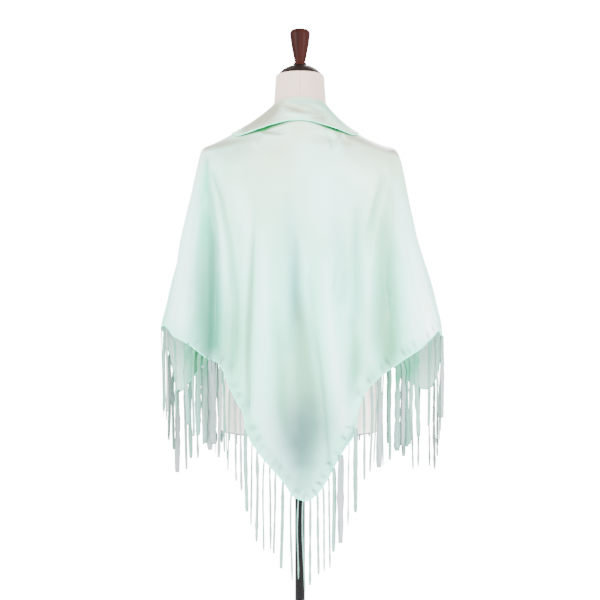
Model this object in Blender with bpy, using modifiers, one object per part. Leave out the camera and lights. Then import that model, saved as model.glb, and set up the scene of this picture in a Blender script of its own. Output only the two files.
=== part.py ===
# Fringed triangular satin shawl with a folded collar edge, worn by a limbless dress form on a stand.
# Metres, +Z up, floor at z = 0. The shawl's back faces -Y, its open fronts face +Y.
# A place round the body is a share of the girth: 0 at the centre of the back, 0.5 at a side and
# 1 at the centre of the front; below zero is the wearer's left, on the -X side.

import math
import random

import bmesh
import bpy
import numpy as np
from mathutils import Vector

# Cloth and seams
WALL = 0.0015
SEAM_GAP = 0.0003
HEM_GAP = 0.0004
SEAT_GAP = 0.0005
SHOULDER_EASE = 0.0015
FRONT_EDGE = 0.955

# Neck fold line of the shawl and the neck inside it
NECK_HALF_WIDTH = 0.0545
NECK_HALF_DEPTH = 0.056
NECK_CENTRE_Y = 0.004
NECK_SIDE_HEIGHT = 1.366
NECK_RISE_BACK = 0.024
NECK_FALL_FRONT = 0.026

# Shoulder edge, where the cloth leaves the shoulders and hangs
EDGE_HEIGHT_SIDE = 1.290
EDGE_HEIGHT_BACK = 1.235
EDGE_HEIGHT_FRONT = 1.215
EDGE_SIDE_POWER = 2.5
YOKE_SIDE_POWER = 1.5
SHOULDER_BEND_LEFT = 1.20
SHOULDER_BEND_RIGHT = 1.65

# Plan of the hanging cloth: a rounded oval with places at equal shares of its girth
PLAN_POWER = 2.4
PLAN_HALF_WIDTH = 0.25
PLAN_HALF_DEPTH = 0.13
PLAN_STEP = 0.002

# Hanging cloth, a row for each height: how far the cloth stands out to each side
HANG = [
    # height, left, right, back, front
    (1.300, 0.1960, 0.1930, 0.100, 0.090),
    (1.290, 0.1990, 0.1960, 0.104, 0.094),
    (1.264, 0.2055, 0.2045, 0.111, 0.104),
    (1.227, 0.2140, 0.2125, 0.118, 0.112),
    (1.184, 0.2230, 0.2210, 0.123, 0.120),
    (1.118, 0.2350, 0.2355, 0.128, 0.128),
    (1.063, 0.2440, 0.2470, 0.131, 0.133),
    (0.972, 0.2640, 0.2710, 0.135, 0.138),
    (0.925, 0.2790, 0.2845, 0.138, 0.140),
    (0.850, 0.2835, 0.2900, 0.141, 0.141),
    (0.700, 0.2880, 0.2940, 0.146, 0.140),
    (0.560, 0.2900, 0.2940, 0.150, 0.138),
]

# Hem, a row for each place round the body: its height on the left and on the right
HEM = [
    # round, left, right
    (0.000, 0.597, 0.597),
    (0.015, 0.603, 0.594),
    (0.040, 0.629, 0.606),
    (0.075, 0.660, 0.642),
    (0.100, 0.681, 0.678),
    (0.120, 0.700, 0.703),
    (0.145, 0.732, 0.729),
    (0.155, 0.772, 0.775),
    (0.170, 0.789, 0.808),
    (0.200, 0.828, 0.830),
    (0.210, 0.853, 0.835),
    (0.220, 0.862, 0.840),
    (0.240, 0.868, 0.847),
    (0.265, 0.872, 0.858),
    (0.300, 0.893, 0.878),
    (0.330, 0.907, 0.891),
    (0.365, 0.916, 0.902),
    (0.400, 0.926, 0.914),
    (0.440, 0.932, 0.921),
    (0.480, 0.932, 0.918),
    (0.520, 0.922, 0.895),
    (0.560, 0.904, 0.850),
    (0.594, 0.868, 0.801),
    (0.612, 0.826, 0.788),
    (0.630, 0.777, 0.784),
    (0.660, 0.804, 0.796),
    (0.690, 0.834, 0.820),
    (0.725, 0.852, 0.838),
    (0.755, 0.850, 0.842),
    (0.800, 0.839, 0.836),
    (0.860, 0.833, 0.834),
    (0.920, 0.835, 0.839),
    (1.000, 0.843, 0.847),
]

# Large folds: each runs down from its top to its foot; depth is out of the cloth, below zero inwards
FOLDS = [
    # face, top height, top across, foot height, foot across, half width, depth
    ("back", 1.240, -0.186, 0.860, -0.178, 0.020, -0.022),
    ("back", 1.190, -0.216, 0.860, -0.242, 0.020, 0.008),
    ("back", 1.080, -0.160, 0.860, -0.150, 0.013, 0.006),
    ("back", 1.160, -0.087, 0.740, -0.101, 0.013, -0.005),
    ("back", 1.180, -0.015, 0.690, 0.014, 0.032, -0.010),
    ("back", 1.010, 0.024, 0.620, 0.060, 0.012, -0.005),
    ("back", 1.090, 0.068, 0.760, 0.090, 0.018, 0.006),
    ("back", 0.990, 0.089, 0.780, 0.108, 0.014, -0.008),
    ("back", 1.230, 0.171, 1.130, 0.128, 0.013, 0.004),
    ("back", 1.215, 0.173, 0.850, 0.181, 0.020, -0.022),
    ("back", 1.120, 0.208, 0.860, 0.246, 0.020, 0.008),
    ("front", 1.120, -0.245, 0.780, -0.266, 0.026, 0.010),
    ("front", 1.150, -0.175, 0.760, -0.206, 0.028, -0.028),
    ("front", 1.120, -0.120, 0.700, -0.140, 0.028, 0.012),
    ("front", 1.080, -0.078, 0.620, -0.082, 0.022, -0.010),
    ("front", 1.120, 0.248, 0.780, 0.270, 0.026, 0.010),
    ("front", 1.140, 0.178, 0.760, 0.210, 0.028, -0.028),
    ("front", 1.130, 0.125, 0.700, 0.143, 0.028, 0.012),
    ("front", 1.060, 0.074, 0.620, 0.084, 0.022, -0.010),
]
FOLD_LEAD = 0.02
FOLD_GROWTH = 0.14
FOLD_FADE = 0.10

# Collar: how far down the yoke the folded edge reaches, as a share of the yoke, and how far
# its lower edge stands off the cloth under it
COLLAR = [
    # round, left, right, stands off
    (0.00, 0.300, 0.300, 0.0015),
    (0.20, 0.360, 0.345, 0.0040),
    (0.35, 0.460, 0.390, 0.0030),
    (0.50, 0.530, 0.370, 0.0008),
    (0.62, 0.480, 0.350, 0.0008),
    (0.75, 0.280, 0.240, 0.0010),
    (0.86, 0.060, 0.060, 0.0010),
]

# Grid of the cloth
STEP_BACK = 0.018
STEP_FRONT = 0.026
BACK_ZONE = 0.45
YOKE_ROWS = (0.0, 0.12, 0.25, 0.40, 0.55, 0.70, 0.84, 0.94)
HANG_ROWS = 13
COLLAR_ROWS = 3

# Fringe
STRIP_HEIGHT = 0.004
STRIP_END = 0.02
STRAND_PITCH = 0.0215
STRAND_LENGTH = 0.172
STRAND_LENGTH_SPREAD = 0.012
STRAND_WIDTHS = (0.0045, 0.0085)
STRAND_ROOT_DROP = 0.010
STRAND_ROOT_OFF = 0.005
STRAND_ROOT_SIZE = 0.80
STRAND_TIP = 0.60
STRAND_SWAY = 0.003
STRAND_CLEAR = 0.010
STRAND_HALF_SHARE = 0.40
STRAND_MARGIN = 0.05

# Dress form: torso rows under the shoulders
TORSO = [
    # height, half width, back, front
    (1.190, 0.1940, 0.110, 0.112),
    (1.130, 0.1820, 0.106, 0.122),
    (1.070, 0.1640, 0.100, 0.121),
    (1.010, 0.1430, 0.094, 0.106),
    (0.955, 0.1340, 0.092, 0.098),
    (0.900, 0.1400, 0.097, 0.098),
    (0.840, 0.1540, 0.105, 0.102),
    (0.785, 0.1640, 0.109, 0.105),
    (0.740, 0.1670, 0.109, 0.105),
    (0.718, 0.1650, 0.108, 0.104),
    (0.714, 0.1615, 0.105, 0.101),
]
TORSO_SIDES = 36
SHARP_ANGLE = math.radians(45)
NECK_TOP_HEIGHT = 1.4345
NECK_TOP_RADIUS = 0.0490
NECK_TOP_Y = 0.010
NECK_TILT = math.radians(8.5)
NECK_EDGE = 0.003
NECK_SHARES = (0.35, 0.70)

# Neck cap and finial, a row for each turn of the profile, from the top down
CAP_PROFILE = [(0.0, 0.0205), (0.012, 0.0200), (0.024, 0.0170), (0.034, 0.0115), (0.041, 0.0050),
               (0.044, 0.0020), (0.044, 0.0), (0.0, 0.0)]
FINIAL_PROFILE = [(0.0, 0.0740), (0.012, 0.0735), (0.0175, 0.0715), (0.0203, 0.0675), (0.0205, 0.0625),
                  (0.0180, 0.0430), (0.0145, 0.0250), (0.0117, 0.0110), (0.0105, 0.0060),
                  (0.0125, 0.0045), (0.0130, 0.0020), (0.0125, 0.0), (0.0, 0.0)]

# Plate under the torso, pole and foot
PLATE_HALF_WIDTH = 0.110
PLATE_HALF_DEPTH = 0.060
PLATE_THICKNESS = 0.006
PLATE_SIDES = 48
POLE_SIDES = 24
POLE_RADIUS = 0.0105
BASE_RADIUS = 0.190
HUB_TOP = 0.046
CAP_STEPS = 28
FINIAL_STEPS = 18
BASE_STEPS = 36
MERGE = 0.00001
BASE_PROFILE = [(0.0, HUB_TOP), (0.0215, HUB_TOP), (0.0235, 0.044), (0.0240, 0.026), (0.0300, 0.0205),
                (0.120, 0.0150), (0.180, 0.0120), (0.188, 0.0095), (BASE_RADIUS, 0.0060),
                (0.1885, 0.0015), (0.186, 0.0), (0.0, 0.0)]


def smooth_step(value):
    value = min(max(value, 0.0), 1.0)
    return value * value * (3.0 - 2.0 * value)


def from_rows(rows, key, column):
    # The value of a column at a key, read along the straight lines between the rows.
    ordered = sorted(rows)
    return float(np.interp(key, [row[0] for row in ordered], [row[column] for row in ordered]))


def make_plan_table(samples=721):
    # Points of a rounded oval at equal shares of its girth, for a body wider than it is deep.
    angles = np.linspace(0.0, math.pi, samples)
    across = np.sin(angles).clip(0.0) ** (2.0 / PLAN_POWER)
    back = np.sign(np.cos(angles)) * np.abs(np.cos(angles)) ** (2.0 / PLAN_POWER)
    steps = np.hypot(np.diff(PLAN_HALF_WIDTH * across), np.diff(PLAN_HALF_DEPTH * back))
    shares = np.concatenate([[0.0], np.cumsum(steps)])
    return shares / shares[-1], across, back


PLAN_SHARES, PLAN_ACROSS, PLAN_BACK = make_plan_table()


def plan(place):
    # Unit plan of the hanging cloth: across is +1 at the right side, back is +1 at the back.
    across = float(np.interp(abs(place), PLAN_SHARES, PLAN_ACROSS))
    back = float(np.interp(abs(place), PLAN_SHARES, PLAN_BACK))
    return math.copysign(across, place), back


def reach(place, height):
    # Half width and half depth of the hanging cloth on the side and face that the place is on.
    half_width = from_rows(HANG, height, 1 if place < 0 else 2)
    half_depth = from_rows(HANG, height, 3 if abs(place) < 0.5 else 4)
    return half_width, half_depth


def hang_point(place, height):
    across, back = plan(place)
    half_width, half_depth = reach(place, height)
    return Vector((half_width * across, -half_depth * back, height))


def edge_height(place):
    side = abs(math.sin(math.pi * place)) ** EDGE_SIDE_POWER
    middle = EDGE_HEIGHT_BACK if abs(place) < 0.5 else EDGE_HEIGHT_FRONT
    return middle + (EDGE_HEIGHT_SIDE - middle) * side


def neck_point(place):
    turn = math.pi * place
    back = math.cos(turn)
    rise = NECK_RISE_BACK if back > 0 else NECK_FALL_FRONT
    return Vector((NECK_HALF_WIDTH * math.sin(turn), NECK_CENTRE_Y - NECK_HALF_DEPTH * back,
                   NECK_SIDE_HEIGHT + rise * back))


def yoke_point(place, share):
    # The cloth on the shoulders, from the neck (share 0) to the shoulder edge (share 1).
    side = abs(math.sin(math.pi * place)) ** YOKE_SIDE_POWER
    outwards = (1.0 - side) * smooth_step(share) + side * share
    bend = SHOULDER_BEND_LEFT if place < 0 else SHOULDER_BEND_RIGHT
    downwards = (1.0 - side) * share + side * (1.0 - (1.0 - share) ** bend)
    neck = neck_point(place)
    edge = hang_point(place, edge_height(place))
    return Vector((neck.x + (edge.x - neck.x) * outwards,
                   neck.y + (edge.y - neck.y) * outwards,
                   neck.z + (edge.z - neck.z) * downwards))


def fold_shift(point, place):
    # How far the folds move a point of the hanging cloth outwards.
    face = "back" if abs(place) < 0.5 else "front"
    shift = 0.0
    for fold_face, top, across_top, foot, across_foot, half_width, depth in FOLDS:
        if fold_face != face:
            continue
        along = min(max((top - point.z) / (top - foot), 0.0), 1.0)
        across = across_top + (across_foot - across_top) * along
        offset = abs(point.x - across) / (2.0 * half_width)
        if offset >= 1.0:
            continue
        grown = smooth_step((top + FOLD_LEAD - point.z) / FOLD_GROWTH)
        kept = smooth_step((point.z - foot + FOLD_FADE) / FOLD_FADE)
        shift += depth * grown * kept * 0.5 * (1.0 + math.cos(math.pi * offset))
    return shift


def plan_normal(place, height):
    run = hang_point(place + PLAN_STEP, height) - hang_point(place - PLAN_STEP, height)
    return Vector((run.y, -run.x, 0.0)).normalized()


def drape_point(place, height):
    point = hang_point(place, height)
    return point + plan_normal(place, height) * fold_shift(point, place)


def stations():
    # Places round the body, closer together over the folded back.
    back_count = round(BACK_ZONE / STEP_BACK)
    front_count = round((FRONT_EDGE - BACK_ZONE) / STEP_FRONT)
    half = [BACK_ZONE * i / back_count for i in range(back_count + 1)]
    half += [BACK_ZONE + (FRONT_EDGE - BACK_ZONE) * (i + 1) / front_count for i in range(front_count)]
    return [-place for place in reversed(half[1:])] + half


def hem_height(place):
    return from_rows(HEM, abs(place), 1 if place < 0 else 2)


def cloth_grid():
    # Inner surface of the shawl: rows of points from the neck fold down to the hem.
    places = stations()
    grid = [[yoke_point(place, share) for place in places] for share in YOKE_ROWS]
    for row in range(HANG_ROWS + 1):
        share = row / HANG_ROWS
        line = []
        for place in places:
            top = edge_height(place)
            line.append(drape_point(place, top + (hem_height(place) - top) * share))
        grid.append(line)
    return grid


def grid_normals(grid):
    # Outward normal at each point of a grid of rows.
    normals = []
    for r, line in enumerate(grid):
        above = grid[max(r - 1, 0)]
        below = grid[min(r + 1, len(grid) - 1)]
        row = []
        for c in range(len(line)):
            along = line[min(c + 1, len(line) - 1)] - line[max(c - 1, 0)]
            down = below[c] - above[c]
            row.append(down.cross(along).normalized())
        normals.append(row)
    return normals


def material(name, colour, roughness, metallic=0.0):
    made = bpy.data.materials.new(name)
    made.use_nodes = True
    shader = made.node_tree.nodes["Principled BSDF"]
    shader.inputs["Base Color"].default_value = (*colour, 1.0)
    shader.inputs["Roughness"].default_value = roughness
    shader.inputs["Metallic"].default_value = metallic
    return made


def add_object(name, mesh, look, collection):
    made = bpy.data.objects.new(name, mesh)
    made.data.materials.append(look)
    collection.objects.link(made)
    return made


def mesh_from(name, points, faces):
    mesh = bpy.data.meshes.new(name)
    mesh.from_pydata([tuple(point) for point in points], [], faces)
    mesh.update()
    mesh.shade_smooth()
    return mesh


def add_cloth(name, grid, look, collection):
    # An open sheet through the grid, thickened outwards into the wall.
    columns = len(grid[0])
    points = [point for line in grid for point in line]
    faces = []
    for r in range(len(grid) - 1):
        for c in range(columns - 1):
            first = r * columns + c
            faces.append((first, first + columns, first + columns + 1, first + 1))
    cloth = add_object(name, mesh_from(name, points, faces), look, collection)
    wall = cloth.modifiers.new("wall", "SOLIDIFY")
    wall.thickness = WALL
    wall.offset = 1.0
    return cloth


def add_collar(look, collection):
    # The folded edge: a second layer outside the yoke, free at its lower edge.
    places = [place for place in stations() if abs(place) <= COLLAR[-1][0]]
    yoke = [[yoke_point(place, from_rows(COLLAR, abs(place), 1 if place < 0 else 2) * row / COLLAR_ROWS)
             for place in places] for row in range(COLLAR_ROWS + 1)]
    normals = grid_normals(yoke)
    grid = []
    for row, line in enumerate(yoke):
        lifts = [WALL + SEAT_GAP + from_rows(COLLAR, abs(place), 3) * (row / COLLAR_ROWS) ** 2
                 for place in places]
        grid.append([point + normals[row][c] * lifts[c] for c, point in enumerate(line)])
    return add_cloth("shawl_collar", grid, look, collection)


def fringe_frame(body):
    # For each hem point of the cloth: its place, its outward normal and the way down off the edge.
    mesh = body.data
    columns = len(stations())
    first = len(mesh.vertices) - columns
    rows = []
    for c in range(columns):
        vertex = mesh.vertices[first + c]
        above = mesh.vertices[first + c - columns]
        before = mesh.vertices[first + max(c - 1, 0)].co
        after = mesh.vertices[first + min(c + 1, columns - 1)].co
        along = (after - before).normalized()
        down = along.cross(vertex.normal).normalized()
        if down.dot(vertex.co - above.co) < 0:
            down = -down
        rows.append((vertex.co.copy(), vertex.normal.copy(), down))
    return rows


def strip_corners(start, end, share):
    # Four corners of the fringe's header at a share of the way between two hem points.
    place = start[0].lerp(end[0], share)
    normal = start[1].lerp(end[1], share)
    down = start[2].lerp(end[2], share)
    inner_top = place + down * HEM_GAP
    outer_top = inner_top + normal * WALL
    return [inner_top, outer_top, outer_top + down * STRIP_HEIGHT, inner_top + down * STRIP_HEIGHT]


def strand_spans(rows, picker):
    # Where strands leave the header: the hem piece, and the strand's start and end along it.
    spans = []
    travelled = 0.0
    wanted = STRAND_PITCH * 0.5
    last = None
    for piece in range(len(rows) - 1):
        start, end = rows[piece][0], rows[piece + 1][0]
        length = (end - start).length
        while wanted < travelled + length:
            width = picker.uniform(*STRAND_WIDTHS)
            half = min(0.5 * width / length, STRAND_HALF_SHARE)
            low, high = half + STRAND_MARGIN, 1.0 - STRAND_MARGIN - half
            middle = min(max((wanted - travelled) / length, low), high)
            centre = start.lerp(end, middle)
            flat = Vector((centre.x, centre.y))
            if last is None or (flat - last).length > STRAND_CLEAR:
                spans.append((piece, middle - half, middle + half, width))
                last = flat
            wanted += STRAND_PITCH
        travelled += length
    return spans


def draw_strand(bm, root, start, end, width, picker):
    # Pull one strand out of a face of the header: off the edge, then straight down to its tip.
    along = (end[0] - start[0]).normalized()
    flat = Vector((along.x, along.y, 0.0)).normalized()
    outwards = Vector((flat.y, -flat.x, 0.0))
    off_edge = (start[2] + end[2]).normalized()
    centre = root.calc_center_median()
    length = STRAND_LENGTH + picker.uniform(-STRAND_LENGTH_SPREAD, STRAND_LENGTH_SPREAD)
    sway = picker.uniform(-STRAND_SWAY, STRAND_SWAY)
    lean = picker.uniform(-STRAND_SWAY, STRAND_SWAY)
    face = root
    for drop, size in ((STRAND_ROOT_DROP, STRAND_ROOT_SIZE), (0.5 * length, 1.0), (length, STRAND_TIP)):
        share = drop / length
        middle = centre + off_edge * STRAND_ROOT_OFF + Vector((0.0, 0.0, -drop))
        middle += flat * sway * share + outwards * lean * share
        signs = []
        face_centre = face.calc_center_median()
        for loop in face.loops:
            offset = loop.vert.co - face_centre
            signs.append((offset.dot(along if face is root else flat), offset.dot(outwards)))
        made = bmesh.ops.extrude_discrete_faces(bm, faces=[face])["faces"][0]
        for loop, (side, out) in zip(made.loops, signs):
            loop.vert.co = (middle + flat * math.copysign(0.5 * width * size, side)
                            + outwards * math.copysign(0.5 * WALL, out))
        face = made


def add_fringe(name, rows, seed, look, collection):
    # A header just under the hem with its strands, in one closed body.
    picker = random.Random(seed)
    spans = strand_spans(rows, picker)
    bm = bmesh.new()
    sections = []
    strand_faces = []
    for piece in range(len(rows) - 1):
        cuts = [(0.0 if piece else STRIP_END, None)]
        for span in spans:
            if span[0] == piece:
                cuts += [(span[1], span), (span[2], None)]
        for share, span in cuts:
            sections.append((piece, share, span))
    sections.append((len(rows) - 2, 1.0, None))
    rings = []
    for piece, share, span in sections:
        corners = strip_corners(rows[piece], rows[piece + 1], share)
        rings.append([bm.verts.new(corner) for corner in corners])
    bm.faces.new(rings[0])
    bm.faces.new(list(reversed(rings[-1])))
    for i in range(len(rings) - 1):
        for side in range(4):
            other = (side + 1) % 4
            face = bm.faces.new((rings[i][other], rings[i][side], rings[i + 1][side], rings[i + 1][other]))
            if side == 2 and sections[i][2] is not None:
                strand_faces.append((face, sections[i]))
    bmesh.ops.recalc_face_normals(bm, faces=bm.faces)
    for face, (piece, share, span) in strand_faces:
        draw_strand(bm, face, rows[piece], rows[piece + 1], span[3], picker)
    bmesh.ops.recalc_face_normals(bm, faces=bm.faces)
    mesh = bpy.data.meshes.new(name)
    bm.to_mesh(mesh)
    bm.free()
    mesh.shade_smooth()
    mesh.set_sharp_from_angle(angle=SHARP_ANGLE)
    return add_object(name, mesh, look, collection)


def form_yoke_point(place, share):
    # The form is the same on both sides: its shoulders follow the lower, right shoulder.
    point = yoke_point(abs(place), share)
    return Vector((math.copysign(point.x, place), point.y, point.z))


def torso_rings():
    # Rings of the form from its neck edge down to its lower edge.
    places = [-1.0 + 2.0 * i / TORSO_SIDES for i in range(TORSO_SIDES)]
    top_ring = []
    rim_ring = []
    for place in places:
        turn = math.pi * place
        for ring, radius, rise in ((top_ring, NECK_TOP_RADIUS - NECK_EDGE, NECK_EDGE),
                                   (rim_ring, NECK_TOP_RADIUS, 0.0)):
            y = -radius * math.cos(turn)
            ring.append(Vector((radius * math.sin(turn), NECK_TOP_Y + y,
                                NECK_TOP_HEIGHT + rise - math.tan(NECK_TILT) * y)))
    shares = YOKE_ROWS + (1.0,)
    yoke = [[form_yoke_point(place, share) for place in places] for share in shares]
    normals = grid_normals([[line[-1]] + line + [line[0]] for line in yoke])
    yoke = [[point - normals[r][c + 1] * (SEAT_GAP + SHOULDER_EASE * shares[r] ** 2)
             for c, point in enumerate(line)] for r, line in enumerate(yoke)]
    rings = [top_ring, rim_ring]
    rings += [[rim.lerp(low, share) for rim, low in zip(rim_ring, yoke[0])] for share in NECK_SHARES]
    rings += yoke
    for height, half_width, back, front in TORSO:
        ring = []
        for place in places:
            across, behind = plan(place)
            ring.append(Vector((half_width * across, -(back if behind > 0 else front) * behind, height)))
        rings.append(ring)
    return rings


def add_torso(look, collection):
    rings = torso_rings()
    points = [point for ring in rings for point in ring]
    faces = [tuple(range(TORSO_SIDES))]
    for r in range(len(rings) - 1):
        for c in range(TORSO_SIDES):
            after = (c + 1) % TORSO_SIDES
            faces.append((r * TORSO_SIDES + c, (r + 1) * TORSO_SIDES + c,
                          (r + 1) * TORSO_SIDES + after, r * TORSO_SIDES + after))
    last = (len(rings) - 1) * TORSO_SIDES
    faces.append(tuple(last + c for c in reversed(range(TORSO_SIDES))))
    mesh = mesh_from("form_torso", points, faces)
    mesh.set_sharp_from_angle(angle=SHARP_ANGLE)
    return add_object("form_torso", mesh, look, collection)


def add_turned(name, profile, steps, look, collection):
    # A turned piece: its profile at +X, from the top down, spun about the upright axis.
    mesh = bpy.data.meshes.new(name)
    mesh.from_pydata([(radius, 0.0, height) for radius, height in profile],
                     [(i, i + 1) for i in range(len(profile) - 1)], [])
    made = add_object(name, mesh, look, collection)
    spin = made.modifiers.new("turn", "SCREW")
    spin.steps = steps
    spin.render_steps = steps
    spin.use_merge_vertices = True
    spin.merge_threshold = MERGE
    spin.use_smooth_shade = True
    return made


def add_cylinder(name, radius, low, high, sides, look, collection):
    mesh = bpy.data.meshes.new(name)
    bm = bmesh.new()
    bmesh.ops.create_cone(bm, cap_ends=True, segments=sides, radius1=radius, radius2=radius,
                          depth=high - low)
    bm.to_mesh(mesh)
    bm.free()
    mesh.shade_smooth()
    mesh.set_sharp_from_angle(angle=SHARP_ANGLE)
    made = add_object(name, mesh, look, collection)
    made.location = (0.0, 0.0, 0.5 * (low + high))
    return made


def add_base_plate(look, collection):
    # An oval plate just under the torso, from a round one stretched in its mesh.
    torso_low = TORSO[-1][0]
    high = torso_low - SEAM_GAP
    plate = add_cylinder("form_base_plate", 1.0, high - PLATE_THICKNESS, high, PLATE_SIDES, look,
                         collection)
    for vertex in plate.data.vertices:
        vertex.co.x *= PLATE_HALF_WIDTH
        vertex.co.y *= PLATE_HALF_DEPTH
    return plate


def add_stand_and_form(collection):
    cover = material("form cover", (0.80, 0.74, 0.68), 0.85)
    dark_cap = material("neck cap", (0.020, 0.016, 0.014), 0.35)
    dark_wood = material("finial wood", (0.055, 0.020, 0.013), 0.30)
    black_metal = material("stand metal", (0.012, 0.012, 0.013), 0.30, 0.6)
    add_torso(cover, collection)
    cap = add_turned("form_neck_cap", CAP_PROFILE, CAP_STEPS, dark_cap, collection)
    finial = add_turned("form_finial", FINIAL_PROFILE, FINIAL_STEPS, dark_wood, collection)
    upright = Vector((0.0, math.sin(NECK_TILT), math.cos(NECK_TILT)))
    seat = Vector((0.0, NECK_TOP_Y, NECK_TOP_HEIGHT + NECK_EDGE)) + upright * SEAM_GAP
    cap.location = seat
    cap.rotation_euler.x = -NECK_TILT
    finial.location = seat + upright * (CAP_PROFILE[0][1] + SEAM_GAP)
    finial.rotation_euler.x = -NECK_TILT
    add_base_plate(black_metal, collection)
    pole_high = TORSO[-1][0] - 2.0 * SEAM_GAP - PLATE_THICKNESS
    add_cylinder("stand_pole", POLE_RADIUS, HUB_TOP + SEAM_GAP, pole_high, POLE_SIDES, black_metal,
                 collection)
    add_turned("stand_base", BASE_PROFILE, BASE_STEPS, black_metal, collection)


def add_shawl(collection):
    satin = material("mint satin", (0.62, 0.83, 0.74), 0.35)
    silk = material("mint fringe", (0.50, 0.64, 0.60), 0.45)
    body = add_cloth("shawl_body", cloth_grid(), satin, collection)
    add_collar(satin, collection)
    rows = fringe_frame(body)
    middle = len(rows) // 2
    add_fringe("fringe_left", list(reversed(rows[:middle + 1])), 11, silk, collection)
    add_fringe("fringe_right", rows[middle:], 23, silk, collection)


def main():
    for old in list(bpy.data.objects):
        bpy.data.objects.remove(old, do_unlink=True)
    collection = bpy.data.collections.new("shawl on dress form")
    bpy.context.scene.collection.children.link(collection)
    add_shawl(collection)
    add_stand_and_form(collection)


main()
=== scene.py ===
import math
import random

import bpy
import numpy as np
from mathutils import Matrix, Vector, noise


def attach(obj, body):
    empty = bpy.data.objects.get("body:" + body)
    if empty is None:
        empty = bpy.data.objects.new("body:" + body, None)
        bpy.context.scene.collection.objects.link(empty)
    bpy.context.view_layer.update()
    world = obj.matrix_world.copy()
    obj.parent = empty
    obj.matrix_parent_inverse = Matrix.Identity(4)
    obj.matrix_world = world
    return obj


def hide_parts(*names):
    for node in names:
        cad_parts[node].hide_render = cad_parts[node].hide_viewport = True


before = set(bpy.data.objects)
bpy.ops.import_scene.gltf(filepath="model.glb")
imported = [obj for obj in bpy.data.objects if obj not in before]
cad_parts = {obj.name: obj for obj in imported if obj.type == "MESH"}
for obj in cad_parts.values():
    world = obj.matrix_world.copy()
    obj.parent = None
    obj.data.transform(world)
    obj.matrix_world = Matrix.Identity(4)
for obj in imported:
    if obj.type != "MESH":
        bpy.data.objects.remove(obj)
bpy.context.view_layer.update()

# The fringed satin triangle shawl, seen from behind on its dress form. Metres, +Z up.
# A place round the body is a share of the girth: 0 at the centre of the back, 0.5 at a side and
# 1 at the centre of the front; below zero is the wearer's left, on the -X side. The tables of
# folds, streaks, creases and strands are in millimetres, as each of them says.
MM = 1000.0
HUNDREDTHS = 100.0

# Camera, from the photograph: its eye is level with the shoulder blades and looks down a little
CAMERA_DISTANCE = 3.0
CAMERA_HEIGHT = 1.24
CAMERA_AIM = 0.981
LENS = 88.1
SENSOR = 36.0

# Light
SURROUND_LIGHT = 2.8
SURROUND_SEEN = 16.0
FLOOR_RADIUS = 1.1
FLOOR_SIDES = 128
LAMP_AIM = (0.0, 0.0, 1.0)
LAMPS = [
    # name, place, size, power
    ("key", (-3.0, -1.9, 2.0), 1.3, 445.0),
    ("fill", (3.0, -2.2, 1.7), 1.5, 450.0),
    ("front", (-0.4, -3.8, 2.2), 1.2, 140.0),
    ("rear", (0.6, 3.2, 2.6), 1.6, 160.0),
]

# Cloth
CLOTH_THICKNESS = 0.0008
CLOTH_LIFT = 0.0007
FOLD_ROLL = 0.0016
UNDER_COLLAR_BAND = 0.04
COLLAR_REST = 0.0012
FRONT_EDGE = 0.955
CLOTH_COLUMNS = 312
COLLAR_LINES = 16
ROLL_LINES = 5
YOKE_LINES = 54
HANG_LINES = 76

# Neck fold line and shoulder edge
NECK_HALF_WIDTH = 0.0545
NECK_HALF_DEPTH = 0.056
NECK_CENTRE_Y = 0.004
NECK_SIDE_HEIGHT = 1.366
NECK_RISE_BACK = 0.024
NECK_FALL_FRONT = 0.026
EDGE_HEIGHT_SIDE = 1.290
EDGE_HEIGHT_BACK = 1.235
EDGE_HEIGHT_FRONT = 1.215
PLAN_POWER = 2.4
SHOULDER_BEND_LEFT = 1.20
SHOULDER_BEND_RIGHT = 1.65
SOFTEN_LINES = 5.0
SOFTEN_LEFT = 0.55
SOFTEN_STEP = 0.6
SOFTEN_ROUNDS = 10

# Hanging cloth: how far it stands out to each side at a height
HANG = [
    # height, left, right, back, front
    (1.3, 0.196, 0.193, 0.1, 0.09), (1.29, 0.199, 0.196, 0.104, 0.094),
    (1.264, 0.2055, 0.2045, 0.111, 0.104), (1.227, 0.214, 0.2125, 0.118, 0.112),
    (1.184, 0.223, 0.221, 0.123, 0.12), (1.118, 0.235, 0.2355, 0.128, 0.128),
    (1.063, 0.244, 0.247, 0.131, 0.133), (0.972, 0.264, 0.271, 0.135, 0.138),
    (0.925, 0.279, 0.2845, 0.138, 0.14), (0.85, 0.2835, 0.29, 0.141, 0.141),
    (0.7, 0.288, 0.294, 0.146, 0.14), (0.56, 0.29, 0.294, 0.15, 0.138),
]

# Hem height at places round the body
HEM = [
    # round, left, right
    (0.0, 0.597, 0.597), (0.015, 0.603, 0.594), (0.04, 0.629, 0.606), (0.075, 0.66, 0.642),
    (0.1, 0.681, 0.678), (0.12, 0.7, 0.703), (0.145, 0.732, 0.729), (0.155, 0.772, 0.775),
    (0.17, 0.789, 0.808), (0.2, 0.828, 0.83), (0.21, 0.853, 0.835), (0.22, 0.862, 0.84),
    (0.24, 0.868, 0.847), (0.265, 0.872, 0.858), (0.3, 0.893, 0.878), (0.33, 0.907, 0.891),
    (0.365, 0.916, 0.902), (0.4, 0.926, 0.914), (0.44, 0.932, 0.921), (0.48, 0.932, 0.918),
    (0.52, 0.922, 0.895), (0.56, 0.904, 0.85), (0.594, 0.868, 0.801), (0.612, 0.826, 0.788),
    (0.63, 0.777, 0.784), (0.66, 0.804, 0.796), (0.69, 0.834, 0.82), (0.725, 0.852, 0.838),
    (0.755, 0.85, 0.842), (0.8, 0.839, 0.836), (0.86, 0.833, 0.834), (0.92, 0.835, 0.839),
    (1.0, 0.843, 0.847),
]

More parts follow.
